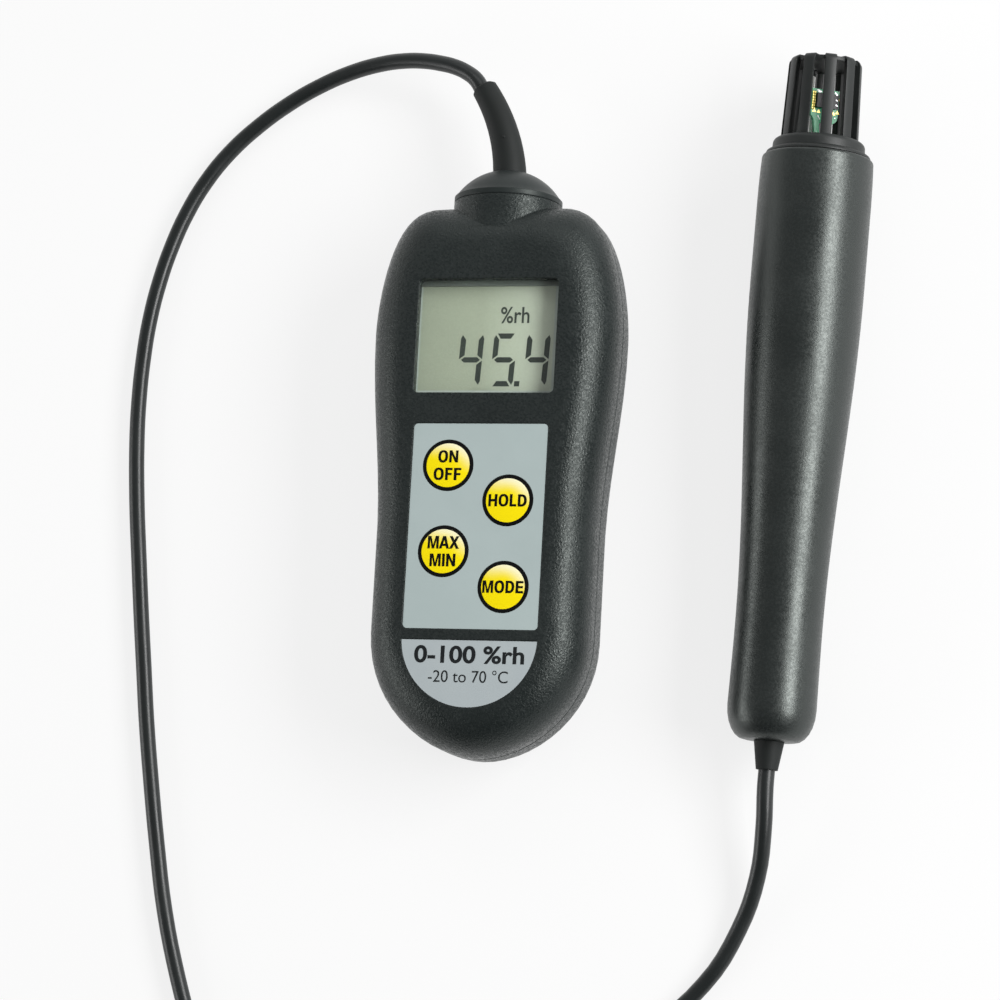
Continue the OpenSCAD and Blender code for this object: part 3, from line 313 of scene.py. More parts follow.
# Clear cast acrylic: it is see-through to light on its way in, so the display behind stays lit
def makeWindowAcrylic():
    material, tree, shader = newMaterial("windowAcrylic")
    finish(tree, shader, {"Base Color": "#f4f8f6", "Roughness": 0.02, "IOR": 1.49,
                          "Transmission Weight": 1.0})
    path = add(tree, "LightPath", {})
    clear = add(tree, "BsdfTransparent", {"Color": "#eef3f1"})
    mixed = add(tree, "MixShader", {}, {0: path.outputs["Is Shadow Ray"], 1: shader.outputs["BSDF"],
                                        2: clear.outputs["BSDF"]})
    tree.links.new(mixed.outputs["Shader"], tree.nodes["Material Output"].inputs["Surface"])
    return material


# Printed plastic sleeve of a battery, with the pearly sheen of its metal ink and a grain of 0.6 mm
def makeBatterySleeve():
    material, tree, shader = newMaterial("batterySleeve")
    here = {"Vector": add(tree, "TexCoord", {}).outputs["Object"]}
    grain = add(tree, "TexNoise", {"Scale": 1 / (0.6 * mm), "Detail": 2.0}, here)
    shade = colourMix(tree, grain.outputs["Fac"], "#3a4250", "#454d5c", *drift["wide"])
    finish(tree, shader, {"Base Color": shade, "Metallic": 0.3, "Roughness": 0.32})
    return material


# Woven nylon of the lead's tie: hooks and loops read as a fine dark weave, 0.5 mm from thread to thread
def makeTieNylon():
    material, tree, shader = newMaterial("tieNylon")
    here = {"Vector": add(tree, "TexCoord", {}).outputs["Object"]}
    weave = add(tree, "TexVoronoi", {"Scale": 1 / (0.5 * mm)}, here)
    shade = colourMix(tree, weave.outputs["Distance"], "#101112", "#232527", 0.0, 0.6)
    bump = add(tree, "Bump", {"Strength": 1.0, "Distance": 0.12 * mm},
               {"Height": weave.outputs["Distance"]})
    finish(tree, shader, {"Base Color": shade, "Normal": bump.outputs["Normal"], "Roughness": 0.75})
    return material


cellGlass = makeCellGlass()
# Gold under green lacquer looks olive, and a battery's band has a copper ink
stripGold = metal("stripGold", "#4a4a1c", "#6b6724", 0.5, 0.12, edge=0.04)
sleeveBand = grained("sleeveBand", "#b5791f", "#c68a2c", 0.3, 0.4, 0.002)
windowAcrylic = makeWindowAcrylic()
batterySleeve = makeBatterySleeve()
tieNylon = makeTieNylon()
print("materials mixed")


# Modelling helpers
def deselect():
    if bpy.context.object and bpy.context.object.mode != "OBJECT":
        bpy.ops.object.mode_set(mode="OBJECT")
    bpy.ops.object.select_all(action="DESELECT")


def choose(piece):
    deselect()
    piece.select_set(True)
    bpy.context.view_layer.objects.active = piece


# Edit mode, with all of the piece selected
def edit(piece):
    choose(piece)
    bpy.ops.object.mode_set(mode="EDIT")
    bpy.ops.mesh.select_mode(type="VERT")
    bpy.ops.mesh.select_all(action="SELECT")


def faceOutwards():
    bpy.ops.mesh.select_all(action="SELECT")
    bpy.ops.mesh.normals_make_consistent(inside=False)


def weld():
    bpy.ops.mesh.select_all(action="SELECT")
    bpy.ops.mesh.remove_doubles(threshold=0.001 * mm)


def applyModifier(piece, kind, **settings):
    choose(piece)
    modifier = piece.modifiers.new(kind.lower(), kind)
    for name, value in settings.items():
        setattr(modifier, name, value)
    bpy.ops.object.modifier_apply(modifier=modifier.name)


# Edges sharper than that angle in degrees get a small radius in mm
def roundEdges(piece, size, angle):
    applyModifier(piece, "BEVEL", width=size * mm, segments=2, limit_method="ANGLE",
                  angle_limit=math.radians(angle))


def smooth(piece, angle=30):
    choose(piece)
    bpy.ops.object.shade_smooth_by_angle(angle=math.radians(angle))


def settle(piece, body, slot, material=None, *nodes):
    if material:
        piece.data.materials.clear()
        piece.data.materials.append(material)
    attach(piece, body)
    if nodes:
        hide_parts(*nodes)
    return piece


def joined(name, pieces):
    deselect()
    for piece in pieces:
        piece.select_set(True)
    bpy.context.view_layer.objects.active = pieces[0]
    bpy.ops.object.join()
    pieces[0].name = name
    return pieces[0]


quarterTurn = [math.radians(15 * i) for i in range(7)]


# The quarter circle from a side wall at that radius up to a flat top
def roundedTop(out, top, size):
    return [(out - size * (1 - math.cos(a)), top - size * (1 - math.sin(a))) for a in quarterTurn]


# A line of vertices drawn by extruding one vertex from point to point, in mm
def drawnLine(name, points):
    deselect()
    points = [Vector(point) * mm for point in points]
    bpy.ops.mesh.primitive_plane_add(size=mm, location=points[0])
    piece = bpy.context.object
    piece.name = name
    bpy.ops.object.mode_set(mode="EDIT")
    bpy.ops.mesh.select_all(action="SELECT")
    bpy.ops.mesh.merge(type="CENTER")
    for before, after in zip(points, points[1:]):
        bpy.ops.mesh.extrude_vertices_move(TRANSFORM_OT_translate={"value": after - before})
    choose(piece)
    bpy.ops.object.transform_apply()
    return piece


# A piece turned from a profile of [radius, height] steps round an upright line at that place
def turned(name, profile, place=(0, 0, 0), steps=64, angle=30):
    piece = drawnLine(name, [(place[0] + r, place[1], place[2] + h) for r, h in profile])
    edit(piece)
    bpy.ops.mesh.spin(steps=steps, angle=2 * math.pi, center=Vector(place) * mm, axis=(0, 0, 1))
    weld()
    faceOutwards()
    smooth(piece, angle)
    return piece


def rectangle(left, low, right, high):
    return [(left, low), (right, low), (right, high), (left, high)]


# A flat shape from its outline, its height and its thickness in mm
def flatShape(name, outline, low, thick):
    deselect()
    bpy.ops.mesh.primitive_circle_add(vertices=len(outline), radius=mm, fill_type="NGON")
    piece = bpy.context.object
    piece.name = name
    for corner, (x, y) in zip(piece.data.vertices, outline):
        corner.co = Vector((x, y, low)) * mm
    edit(piece)
    bpy.ops.mesh.extrude_region_move(TRANSFORM_OT_translate={"value": (0, 0, thick * mm)})
    faceOutwards()
    deselect()
    return piece


# Printed ink, in mm: its thickness, and how deep its underside lies in the face that it is printed on
ink = {"thick": 0.03, "sunk": 0.005}


# A flat curve or text made a layer of ink, fitted to its width and height, with its foot's middle at x, y
def fitted(piece, width, height, x, y, low):
    piece.data.extrude = 0.5
    choose(piece)
    bpy.ops.object.convert(target="MESH")
    corners = [corner.co.copy() for corner in piece.data.vertices]
    left, right = (f(c.x for c in corners) for f in (min, max))
    bottom, top = (f(c.y for c in corners) for f in (min, max))
    for corner in piece.data.vertices:
        across = (corner.co.x - (left + right) / 2) / (right - left)
        up = (corner.co.y - bottom) / (top - bottom)
        layer = low + (corner.co.z + 0.5) * ink["thick"]
        corner.co = Vector((x + across * width, y + up * height, layer)) * mm
    edit(piece)
    weld()
    faceOutwards()
    deselect()
    return piece


def word(name, text, width, height, x, y, low, bold=0.0):
    deselect()
    bpy.ops.object.text_add()
    piece = bpy.context.object
    piece.name = name
    piece.data.body = text
    piece.data.offset = bold
    piece.data.resolution_u = 6
    return fitted(piece, width, height, x, y, low)


# The round letters' loops: all of an oval, or its right half with a straight left side. They are fuller than
# an ellipse, which has a fullness of 2.
def fuller(value, fullness):
    return math.copysign(abs(value) ** (2 / fullness), value)


def oval(left, right, low, high, fullness=2.35, steps=36):
    turns = [2 * math.pi * i / steps for i in range(steps)]
    return [((left + right) / 2 + (right - left) / 2 * fuller(math.cos(turn), fullness),
             (low + high) / 2 + (high - low) / 2 * fuller(math.sin(turn), fullness)) for turn in turns]


def halfOval(left, start, right, low, high, fullness=2.2, steps=16):
    turns = [math.pi * (i / steps - 0.5) for i in range(steps + 1)]
    return [(left, high), (left, low)] + [
        (start + (right - start) * fuller(math.cos(turn), fullness),
         (low + high) / 2 + (high - low) / 2 * fuller(math.sin(turn), fullness)) for turn in turns]


# Bold upright capitals 1 high, drawn as closed loops: each has its width, its outline and any hole. Their
# stems and beams are as thick as this, and sloping letters stand closer to those beside them.
stem, beam, letterGap = 0.235, 0.19, 0.12
closer = {"A": 0.09, "X": 0.04}
letters = {
    "H": (0.8, [[(0, 0), (stem, 0), (stem, 0.4), (0.8 - stem, 0.4), (0.8 - stem, 0), (0.8, 0), (0.8, 1),
                 (0.8 - stem, 1), (0.8 - stem, 0.6), (stem, 0.6), (stem, 1), (0, 1)]]),
    "L": (0.6, [[(0, 0), (0.6, 0), (0.6, beam), (stem, beam), (stem, 1), (0, 1)]]),
    "F": (0.62, [[(0, 0), (stem, 0), (stem, 0.4), (0.56, 0.4), (0.56, 0.58), (stem, 0.58), (stem, 1 - beam),
                  (0.62, 1 - beam), (0.62, 1), (0, 1)]]),
    "E": (0.68, [[(0, 0), (0.68, 0), (0.68, beam), (stem, beam), (stem, 0.41), (0.64, 0.41), (0.64, 0.59),
                  (stem, 0.59), (stem, 1 - beam), (0.67, 1 - beam), (0.67, 1), (0, 1)]]),
    "I": (stem, [[(0, 0), (stem, 0), (stem, 1), (0, 1)]]),
    "N": (0.8, [[(0, 0), (0.225, 0), (0.225, 0.62), (0.56, 0), (0.8, 0), (0.8, 1), (0.575, 1),
                 (0.575, 0.38), (0.24, 1), (0, 1)]]),
    "M": (0.98, [[(0, 0), (0.21, 0), (0.21, 0.74), (0.385, 0), (0.595, 0), (0.77, 0.74), (0.77, 0),
                  (0.98, 0), (0.98, 1), (0.68, 1), (0.49, 0.28), (0.3, 1), (0, 1)]]),
    "A": (0.9, [[(0, 0), (0.24, 0), (0.305, 0.21), (0.595, 0.21), (0.66, 0), (0.9, 0), (0.58, 1),
                 (0.32, 1)], [(0.36, 0.39), (0.45, 0.7), (0.54, 0.39)]]),
    "X": (0.86, [[(0, 0), (0.26, 0), (0.43, 0.32), (0.6, 0), (0.86, 0), (0.565, 0.51), (0.85, 1),
                  (0.59, 1), (0.43, 0.7), (0.27, 1), (0.01, 1), (0.295, 0.51)]]),
    "D": (0.78, [halfOval(0, 0.34, 0.78, 0, 1), halfOval(stem, 0.33, 0.78 - stem, beam, 1 - beam)]),
    "O": (0.87, [oval(0, 0.87, -0.015, 1.015), oval(stem, 0.87 - stem, beam - 0.015, 1.015 - beam)]),
}


def boldWord(name, text, width, height, x, y, low=0.0):
    curve = bpy.data.curves.new(name, "CURVE")
    curve.dimensions = "2D"
    curve.fill_mode = "BOTH"
    pen = 0.0
    for letter in text:
        across, loops = letters[letter]
        nearer = closer.get(letter, 0)
        pen -= nearer
        for loop in loops:
            line = curve.splines.new("POLY")
            line.points.add(len(loop) - 1)
            line.use_cyclic_u = True
            for spot, (px, py) in zip(line.points, loop):
                spot.co = (pen + px, py, 0, 1)
        pen += across + letterGap - nearer
    return fitted(newObject(name, curve), width, height, x, y, low)


# A piece drawn at the origin is carried to its place, and its place goes into its mesh
def placed(piece, way):
    piece.matrix_world = way
    choose(piece)
    bpy.ops.object.transform_apply()
    return piece


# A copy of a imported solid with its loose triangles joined, so that it can be smoothed
def copyOf(node, name, angle=30):
    piece = newObject(name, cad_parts[node].data.copy())
    edit(piece)
    bpy.ops.mesh.customdata_custom_splitnormals_clear()
    bpy.ops.mesh.remove_doubles(threshold=0.002 * mm)
    smooth(piece, angle)
    applyModifier(piece, "WEIGHTED_NORMAL", keep_sharp=True)
    return piece


# The lead: off the strain relief, down to the floor, round into its coil and back up to the probe
lead = {
    "diameter": 3.5,
    "start": [(-7.68, 83.07, 11.65), (-8.98, 85.08, 11.48)],
    "meterRun": [
        (-11.55, 87.2, 10.7), (-14.5, 88.7, 10.1), (-17.9, 89.8, 9.3), (-22, 90.7, 8.4), (-27, 91.2, 7.2),
        (-33, 91, 5.7), (-40.4, 89.6, 4.1), (-47.8, 87, 2.8), (-54.9, 83.3, 2), (-61.6, 78.5, 1.75),
        (-68.1, 72.4, 1.75), (-73.4, 65.5, 1.75), (-77.3, 58.4, 1.75), (-80.3, 50.8, 1.75),
        (-82.6, 42.8, 1.75), (-84.3, 33.9, 1.75), (-85.2, 24.6, 1.75), (-85.5, 15.5, 1.75),
        (-85.3, 6.5, 1.75), (-84.3, -7, 1.75), (-82.8, -20.5, 1.75), (-81.2, -34, 1.75), (-79.8, -45, 1.75),
        (-78.4, -56, 1.75), (-76.4, -69, 1.75), (-74, -83, 1.75), (-71, -98, 1.75), (-67, -112, 1.75),
        (-62, -126, 1.9), (-57.5, -138, 2.3), (-55, -148.5, 2.65)],
    "coilMiddle": (-30, -152),
    "coilRadius": 25,
    "coilTurns": 4.5,
    "coilStep": 4,
    "coilLow": 2.65,
    "layer": 4,
    "climb": 0.5,
    "probeRun": [
        (-5, -148.5, 6.6), (-3.5, -140, 4.6), (2, -131, 2.4), (12, -124.5, 1.8), (25, -121.5, 1.75),
        (38, -117.5, 1.75), (48.5, -108.5, 1.75), (55.5, -97, 2.4), (59.4, -86, 4.6), (60.8, -76, 7.4)],
    "end": [(61.04, -67.58, 8.84), (61.21, -64.09, 8.96)],
}


def ease(u):
    return 0.5 - 0.5 * math.cos(math.pi * min(max(u, 0), 1))


# The coil winds inwards on the floor, climbs one layer in half a turn, and winds outwards on top
def coilPoints(perTurn=24):
    half, climb = lead["coilTurns"] / 2, lead["climb"]
    points = []
    for i in range(int(perTurn * lead["coilTurns"]) + 1):
        u = i / perTurn
        radius = lead["coilRadius"] - lead["coilStep"] * (half - abs(half - u))
        angle = math.pi + 2 * math.pi * u
        points.append((lead["coilMiddle"][0] + radius * math.cos(angle),
                       lead["coilMiddle"][1] + radius * math.sin(angle),
                       lead["coilLow"] + lead["layer"] * ease((u - half) / climb + 0.5)))
    return points


def makeTube(name, points, diameter, resolution=4, sides=5):
    curve = bpy.data.curves.new(name, "CURVE")
    curve.dimensions = "3D"
    curve.bevel_depth = diameter / 2 * mm
    curve.bevel_resolution = sides
    curve.use_fill_caps = True
    curve.resolution_u = resolution
    line = curve.splines.new("BEZIER")
    line.bezier_points.add(len(points) - 1)
    for spot, point in zip(line.bezier_points, points):
        spot.co = Vector(point) * mm
        spot.handle_left_type = spot.handle_right_type = "AUTO"
    return newObject(name, curve)


leadRoute = lead["start"] + lead["meterRun"] + coilPoints() + lead["probeRun"] + lead["end"]
leadPiece = makeTube("signalLead", leadRoute, lead["diameter"])
settle(leadPiece, "meter", "lead_cover", leadPvc, "cord_meter_run", "cord_coil", "cord_probe_run")
print("lead laid")


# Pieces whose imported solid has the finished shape, with what they are made of. All but two are on the meter's
# body, and each is named after its solid.
casePieces = {
    "front_shell": ("case_plastic", caseAbs),
    "rear_shell": ("case_plastic", caseAbs),
    "end_cap": ("case_plastic", capAbs),
    "battery_cover": ("case_plastic", caseAbs),
    "strain_relief": ("soft_plastic", reliefPvc),
    "keypad_overlay": ("printed_film", overlayPolyester),
    "bottom_label": ("printed_film", labelPolyester),
    "display_window": ("clear_window", windowAcrylic),
    "lcd_cell": ("display_glass", cellGlass),
    # The display's frame, whose strip at the window's top edge is painted shade
    "lcd_frame": ("inner_plastic", maskPrintAndShade),
    "contact_strips": ("contact_rubber", contactRubber),
    "circuit_board": ("board", solderMask),
    "main_chip": ("chip_plastic", chipEpoxy),
    "small_chips": ("chip_plastic", chipEpoxy),
    "switch_housings": ("inner_plastic", innerNylon),
    "board_screws": ("screw_steel", zincSteel),
    "case_screws": ("screw_steel", zincSteel),
    "battery_plates": ("contact_steel", springSteel),
    "probe_handle": ("case_plastic", handleAbs),
    "guard_seal": ("seal_rubber", sealRubber),
    "humidity_sensor": ("chip_plastic", chipEpoxy),
    "sensor_carrier": ("inner_plastic", innerNylon),
    "probe_grommet": ("soft_plastic", reliefPvc),
}
slidingPieces = {"battery_cover": "cover", "guard_seal": "guard"}
keyNames = ("on_off", "hold", "max_min", "mode")
for node, (slot, material) in casePieces.items():
    first, *rest = node.split("_")
    name = first + "".join(part.capitalize() for part in rest)
    settle(copyOf(node, name), slidingPieces.get(node, "meter"), slot, material, node)
for key in keyNames:
    node = f"plunger_{key}"
    settle(copyOf(node, f"{key}Plunger"), f"key_{key}", "inner_plastic", innerNylon, node)
print("solids dressed")


# Woven strap round the coil, in mm out from the coil's middle and up from the floor: it starts on top of the
# turns, goes down and round under them, and comes up to lie over its start. Each point of the lap has how far
# out it lies and how much of the lift it has, which is a little more than the strap's thickness.
tie = {
    "wide": 5.0,
    "thick": 0.7,
    "inner": 13.5,
    "outer": 26.7,
    "low": 0.36,
    "high": 8.75,
    "corner": 1.6,
    "start": 17.0,
    "lap": [(24.1, 0.0272), (20.6, 0.1), (19.4, 0.55), (18.2, 1), (16.7, 1), (14.7, 0.97)],
    "lapLift": 1.05,
    "edgeRound": 0.15,
}


def makeTie():
    inner, outer, low, high, corner = (tie[name] for name in ("inner", "outer", "low", "high", "corner"))
    route = [(tie["start"], high)]
    for out, up, first in ((inner + corner, high - corner, 90), (inner + corner, low + corner, 180),
                           (outer - corner, low + corner, 270), (outer - corner, high - corner, 0)):
        for turn in quarterTurn:
            angle = math.radians(first) + turn
            route.append((out + corner * math.cos(angle), up + corner * math.sin(angle)))
    lift = tie["lapLift"] * tie["thick"]
    route += [(out, high + share * lift) for out, share in tie["lap"]]
    x, y = lead["coilMiddle"]
    strap = drawnLine("leadTie", [(x - tie["wide"] / 2, y - out, up) for out, up in route])
    edit(strap)
    bpy.ops.mesh.extrude_edges_move(TRANSFORM_OT_translate={"value": (tie["wide"] * mm, 0, 0)})
    faceOutwards()
    applyModifier(strap, "SOLIDIFY", thickness=tie["thick"] * mm, offset=0.0, use_even_offset=True)
    roundEdges(strap, tie["edgeRound"], 50)
    smooth(strap)
    return settle(strap, "meter", "tie_plastic", tieNylon, "cord_tie")


leadTie = makeTie()


# Keys: a printed film formed to a low dome, with a black ring, a legend and a pad behind. Each line of a
# legend has its width and how far its foot lies above the key's middle, in mm.
keyShape = {
    "ring": 0.75,
    "filmThick": 0.5,
    "padRadius": 3.0,
    "edgeRound": 0.08,
    "domeSteps": 10,
    "capHeight": 2.7,
    "legends": {
        "on_off": [("ON", 4.35, 0.52), ("OFF", 6.0, -3.24)],
        "hold": [("HOLD", 8.3, -1.38)],
        "max_min": [("MAX", 6.85, 0.52), ("MIN", 5.6, -3.24)],
        "mode": [("MODE", 8.85, -1.36)],
    },
}


def makeKey(key):
    low, high = (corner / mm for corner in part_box(f"key_{key}"))
    centre = (low + high) / 2
    radius = (high.x - low.x) / 2
    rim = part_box("keypad_overlay")[1].z / mm
    crown = high.z - rim
    back = rim - keyShape["filmThick"]
    edge = keyShape["edgeRound"]
    ringIn = radius - keyShape["ring"]

    def domeHeight(r):
        return rim + crown * (1 - (r / radius) ** 2)

    steps = keyShape["domeSteps"]
    dome = [(ringIn * (1 - i / steps), domeHeight(ringIn * (1 - i / steps))) for i in range(steps + 1)]
    ringMiddle = (radius + ringIn) / 2
    profile = [(0, low.z), (keyShape["padRadius"], low.z), (keyShape["padRadius"], back), (radius, back),
               (radius, rim - edge), (radius - 0.3 * edge, rim - 0.2 * edge),
               (radius - edge, domeHeight(radius - edge)), (ringMiddle, domeHeight(ringMiddle))] + dome
    piece = turned(f"{key}Key", profile, (centre.x, centre.y, 0), steps=72)
    yellow = makeKeyYellow(f"{key}Yellow", centre * mm, ringIn * mm)
    settle(piece, f"key_{key}", "key_film", yellow, f"key_{key}")
    piece.data.materials.append(keyInk)
    for face in piece.data.polygons:
        out = (face.center.xy / mm - centre.xy).length
        face.material_index = 0 if out < ringIn and face.center.z / mm > rim else 1
    words = [boldWord(f"{key}Word{i}", text, width, keyShape["capHeight"], centre.x, centre.y + line)
             for i, (text, width, line) in enumerate(keyShape["legends"][key])]
    legend = joined(f"{key}Legend", words)
    for corner in legend.data.vertices:
        out = (corner.co.xy / mm - centre.xy).length
        corner.co.z += (domeHeight(out) - ink["sunk"]) * mm
    settle(legend, f"key_{key}", "printed_film", keyInk)


for key in keyNames:
    makeKey(key)
print("keys formed")


# Display: seven-segment figures and the unit, drawn in the cell's ink. Places are from the cell's middle.
display = {
    "figures": "45.4",
    "firstLeft": -6.6,
    "pitch": 7.28,
    "width": 5.1,
    "middle": -4.6,
    "half": 5.75,
    "stroke": 1.15,
    "slant": 0.05,
    "gap": 0.14,
    "pointGap": 0.28,
    "unit": "%rh",
    "unitSize": (6.3, 3.6),
    "unitBold": 0.012,
    "unitPlace": (5.25, 3.35),
}
segmentsOn = {"4": ("upperLeft", "upperRight", "middle", "lowerRight"),
              "5": ("top", "upperLeft", "middle", "lowerRight", "bottom")}


# A segment's outline, its corners cut by parts of its stroke: the upper left and the top one are drawn, and
# the others mirror them
def segmentOutline(segment):
    w, h, t, g = (display[name] for name in ("width", "half", "stroke", "gap"))
    upright = [(0, g), (0, h - t), (0.3 * t, h - 0.3 * t), (t, h - 1.2 * t), (t, 0.9 * t)]
    bar = [(0.6 * t, h), (w - 0.6 * t, h), (w - 1.25 * t, h - t), (1.25 * t, h - t)]
    if segment == "middle":
        return [(0.4 * t, 0), (t, t / 2), (w - t, t / 2), (w - 0.4 * t, 0), (w - t, -t / 2), (t, -t / 2)]
    outline = bar if segment in ("top", "bottom") else upright
    if segment.endswith("Right"):
        outline = [(w - x, y) for x, y in outline]
    if segment in ("bottom", "lowerLeft", "lowerRight"):
        outline = [(x, -y) for x, y in outline]
    return outline


def makeFigures():
    low, high = (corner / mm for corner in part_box("lcd_cell"))
    middle = (low + high) / 2
    line = middle.y + display["middle"]
    top = high.z - ink["sunk"]
    pieces = []
    left = display["firstLeft"]
    stroke = display["stroke"]
    for figure in display["figures"]:
        if figure == ".":
            x = left - display["pitch"] + display["width"] + display["pointGap"]
            outlines = [rectangle(x, -display["half"], x + stroke, stroke - display["half"])]
        else:
            outlines = [[(left + x, y) for x, y in segmentOutline(name)] for name in segmentsOn[figure]]
            left += display["pitch"]
        for outline in outlines:
            leaning = [(middle.x + x + display["slant"] * y, line + y) for x, y in outline]
            pieces.append(flatShape("segment", leaning, top, ink["thick"]))
    across, up = display["unitPlace"]
    pieces.append(word("unit", display["unit"], *display["unitSize"], middle.x + across, middle.y + up, top,
                       display["unitBold"]))
    settle(joined("displayFigures", pieces), "meter", "display_glass", cellInk)


makeFigures()

# Bottom label: the measuring ranges stand where the real one has its printing. Each line has its width, its
# height, how far its foot lies below the label's top edge, and how bold it is.
label = {
    "lines": [("0-100 %rh", 23.8, 3.75, 4.9, 0.024), ("-20 to 70 °C", 17.2, 2.65, 8.9, 0.0)],
    "middle": 0.2,
}


def makeLabelPrint():
    low, high = (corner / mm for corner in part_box("bottom_label"))
    top = high.z - ink["sunk"]
    words = [word("line", text, width, height, label["middle"], high.y - down, top, bold)
             for text, width, height, down, bold in label["lines"]]
    settle(joined("labelPrint", words), "meter", "printed_film", labelInk)


makeLabelPrint()
print("display and label printed")


# The probe's own frame: its axis runs up the handle, from the lead to the sensor
probe = {
    "place": (61.5, -58.1, 0),
    "axisHeight": 9.15074,
    "tilt": 1.84998,
    "turn": 2.75,
    "sensorTurn": 27,
    "boardPlace": (0.9, 1.0, 0),
}


def turnedBy(degrees, axis):
    return Matrix.Rotation(math.radians(degrees), 4, axis)


def movedBy(place):
    return Matrix.Translation(Vector(place) * mm)


probeWay = (movedBy(probe["place"]) @ turnedBy(-probe["turn"], "Z") @ movedBy((0, 0, probe["axisHeight"]))
            @ turnedBy(probe["tilt"] - 90, "X"))
sensorWay = probeWay @ turnedBy(probe["sensorTurn"], "Z")
boardWay = sensorWay @ movedBy(probe["boardPlace"]) @ turnedBy(90, "X")

# Sensor guard: a spigot, a flange and a collar, with ten ribs up to a disc. The ribs narrow inwards, and a
# bar on each reaches the disc. Profiles are in mm out from the probe's axis and along it, and a pair gives a
# rib's faces at the collar and at the top.
guard = {
    "bore": 6.4,
    "spigot": [(8.9, 115.0), (9.5, 115.6), (9.5, 118.7), (8.05, 118.7), (8.05, 120.3), (9.5, 120.3),
               (9.5, 124.15)],
    "flange": [(11.15, 124.15), (11.15, 124.45), (11.0, 124.78), (10.7, 125.0), (10.1, 125.15),
               (9.85, 125.3)],
    "collarRadius": 9.8,
    "collarRound": 1.1,
    "collarTop": 127.75,
    "ribs": 10,
    "firstRib": 1,
    "ribWide": 2.5,
    "ribWideInside": 1.4,
    "ribSunk": 0.6,
    "ribOut": (8.2, 7.7),
    "ribIn": (6.7, 6.2),
    "top": 145.55,
    "ribRound": 1.3,
    "ribEdge": 0.16,
    "barFrom": 4.15,
    "barThick": 1.2,
    "disc": [(0, 144.25), (7.0, 144.25), (7.0, 145.05), (4.3, 145.05), (4.3, 145.45), (4.15, 145.52),
             (0, 145.52)],
}


def makeRib():
    wide, top, barFrom = guard["ribWide"], guard["top"], guard["barFrom"]
    foot, barLow = guard["collarTop"] - guard["ribSunk"], top - guard["barThick"]
    (innerFoot, innerTop), (outerFoot, outerTop) = guard["ribIn"], guard["ribOut"]
    outline = [(innerFoot, foot), (outerFoot, foot)] + roundedTop(outerTop, top, guard["ribRound"])
    outline += [(barFrom, top), (barFrom, barLow), (innerTop, barLow)]
    rib = flatShape("rib", outline, -wide / 2, wide)
    for corner in rib.data.vertices:
        if barFrom + 1 < corner.co.x / mm < innerFoot + 0.01:
            corner.co.z *= guard["ribWideInside"] / wide
    roundEdges(rib, guard["ribEdge"], 35)
    return placed(rib, turnedBy(90, "X"))


def makeGuard():
    bore, collarTop = guard["bore"], guard["collarTop"]
    low = guard["spigot"][0][1]
    bend = roundedTop(guard["collarRadius"], collarTop, guard["collarRound"])
    profile = [(bore, low)] + guard["spigot"] + guard["flange"] + bend + [(bore, collarTop), (bore, low)]
    pieces = [turned("sensorGuard", profile, steps=96), makeRib()]
    for i in range(1, guard["ribs"]):
        rib = newObject("rib", pieces[1].data.copy())
        pieces.append(placed(rib, turnedBy(360 * i / guard["ribs"], "Z")))
    body = joined("sensorGuard", pieces + [turned("disc", guard["disc"], steps=60)])
    smooth(body, 32)
    placed(body, probeWay @ turnedBy(guard["firstRib"], "Z"))
    settle(body, "guard", "guard_plastic", guardNylon, "sensor_guard")


makeGuard()
print("guard formed")

# Sensor board: its outline and what is on it, in mm across from its middle and along the probe. Rectangles
# have their left, low, right and high sides, squares their middle and size, and blobs their middle, half
# width, half height and lean.
sensor = {
    "outline": [(-5, 72), (5, 72), (5, 110), (1.6, 110), (1.6, 126.2), (-0.45, 127.6), (-0.75, 129.6),
                (-1.0, 131.8), (-0.75, 132.5), (0.4, 132.1), (2.0, 132.3), (2.75, 132.9), (3.0, 133.8),
                (3.0, 139.55), (-3.0, 139.55), (-3.0, 134.0), (-2.3, 132.8), (-2.1, 131.3), (-1.6, 128),
                (-1.6, 110), (-5, 110)],
    "strip": (-2.95, 134.95, -2.12, 139.0),
    "dots": (2, 7),
    "dotFrom": 0.24,
    "dotTo": 0.76,
    "triangles": [(-2.32, 134.78), (-1.32, 134.7), (1.95, 134.62), (2.78, 134.95)],
    "triangleHalf": (0.468, 0.39),
    "squares": [(2.72, 137.7, 0.5, 0.55)],
    "blobs": [(-1.35, 138.93, 0.42, 0.2, 0.2), (-1.7, 139.2, 0.35, 0.14, -0.1),
              (2.25, 138.85, 0.5, 0.17, -0.7), (2.35, 137.55, 0.36, 0.12, -0.6),
              (2.5, 136.4, 0.42, 0.13, -0.5), (2.3, 133.55, 0.12, 0.12, 0)],
    "chipEdge": (1.9, 135.5, 2.9, 138.7),
    "solderLine": [(-1.56, 133.75), (-1.44, 133.8), (-0.95, 132.9), (-1.05, 132.85)],
    "thick": {"board": 1.0, "pads": 0.07, "strip": 0.03, "solder": 0.16, "chip": 0.1},
}


def leaningOval(x, y, halfWide, halfHigh, lean, steps=14):
    points = []
    for i in range(steps):
        angle = 2 * math.pi * i / steps
        across, up = halfWide * math.cos(angle), halfHigh * math.sin(angle)
        points.append((x + across * math.cos(lean) - up * math.sin(lean),
                       y + across * math.sin(lean) + up * math.cos(lean)))
    return points


def onBoard(name, outlines, layer, slot, material, *nodes):
    thick = sensor["thick"][layer]
    low = -thick if layer == "board" else 0.0
    piece = joined(name, [flatShape("shape", outline, low, thick) for outline in outlines])
    settle(placed(piece, boardWay), "meter", slot, material, *nodes)


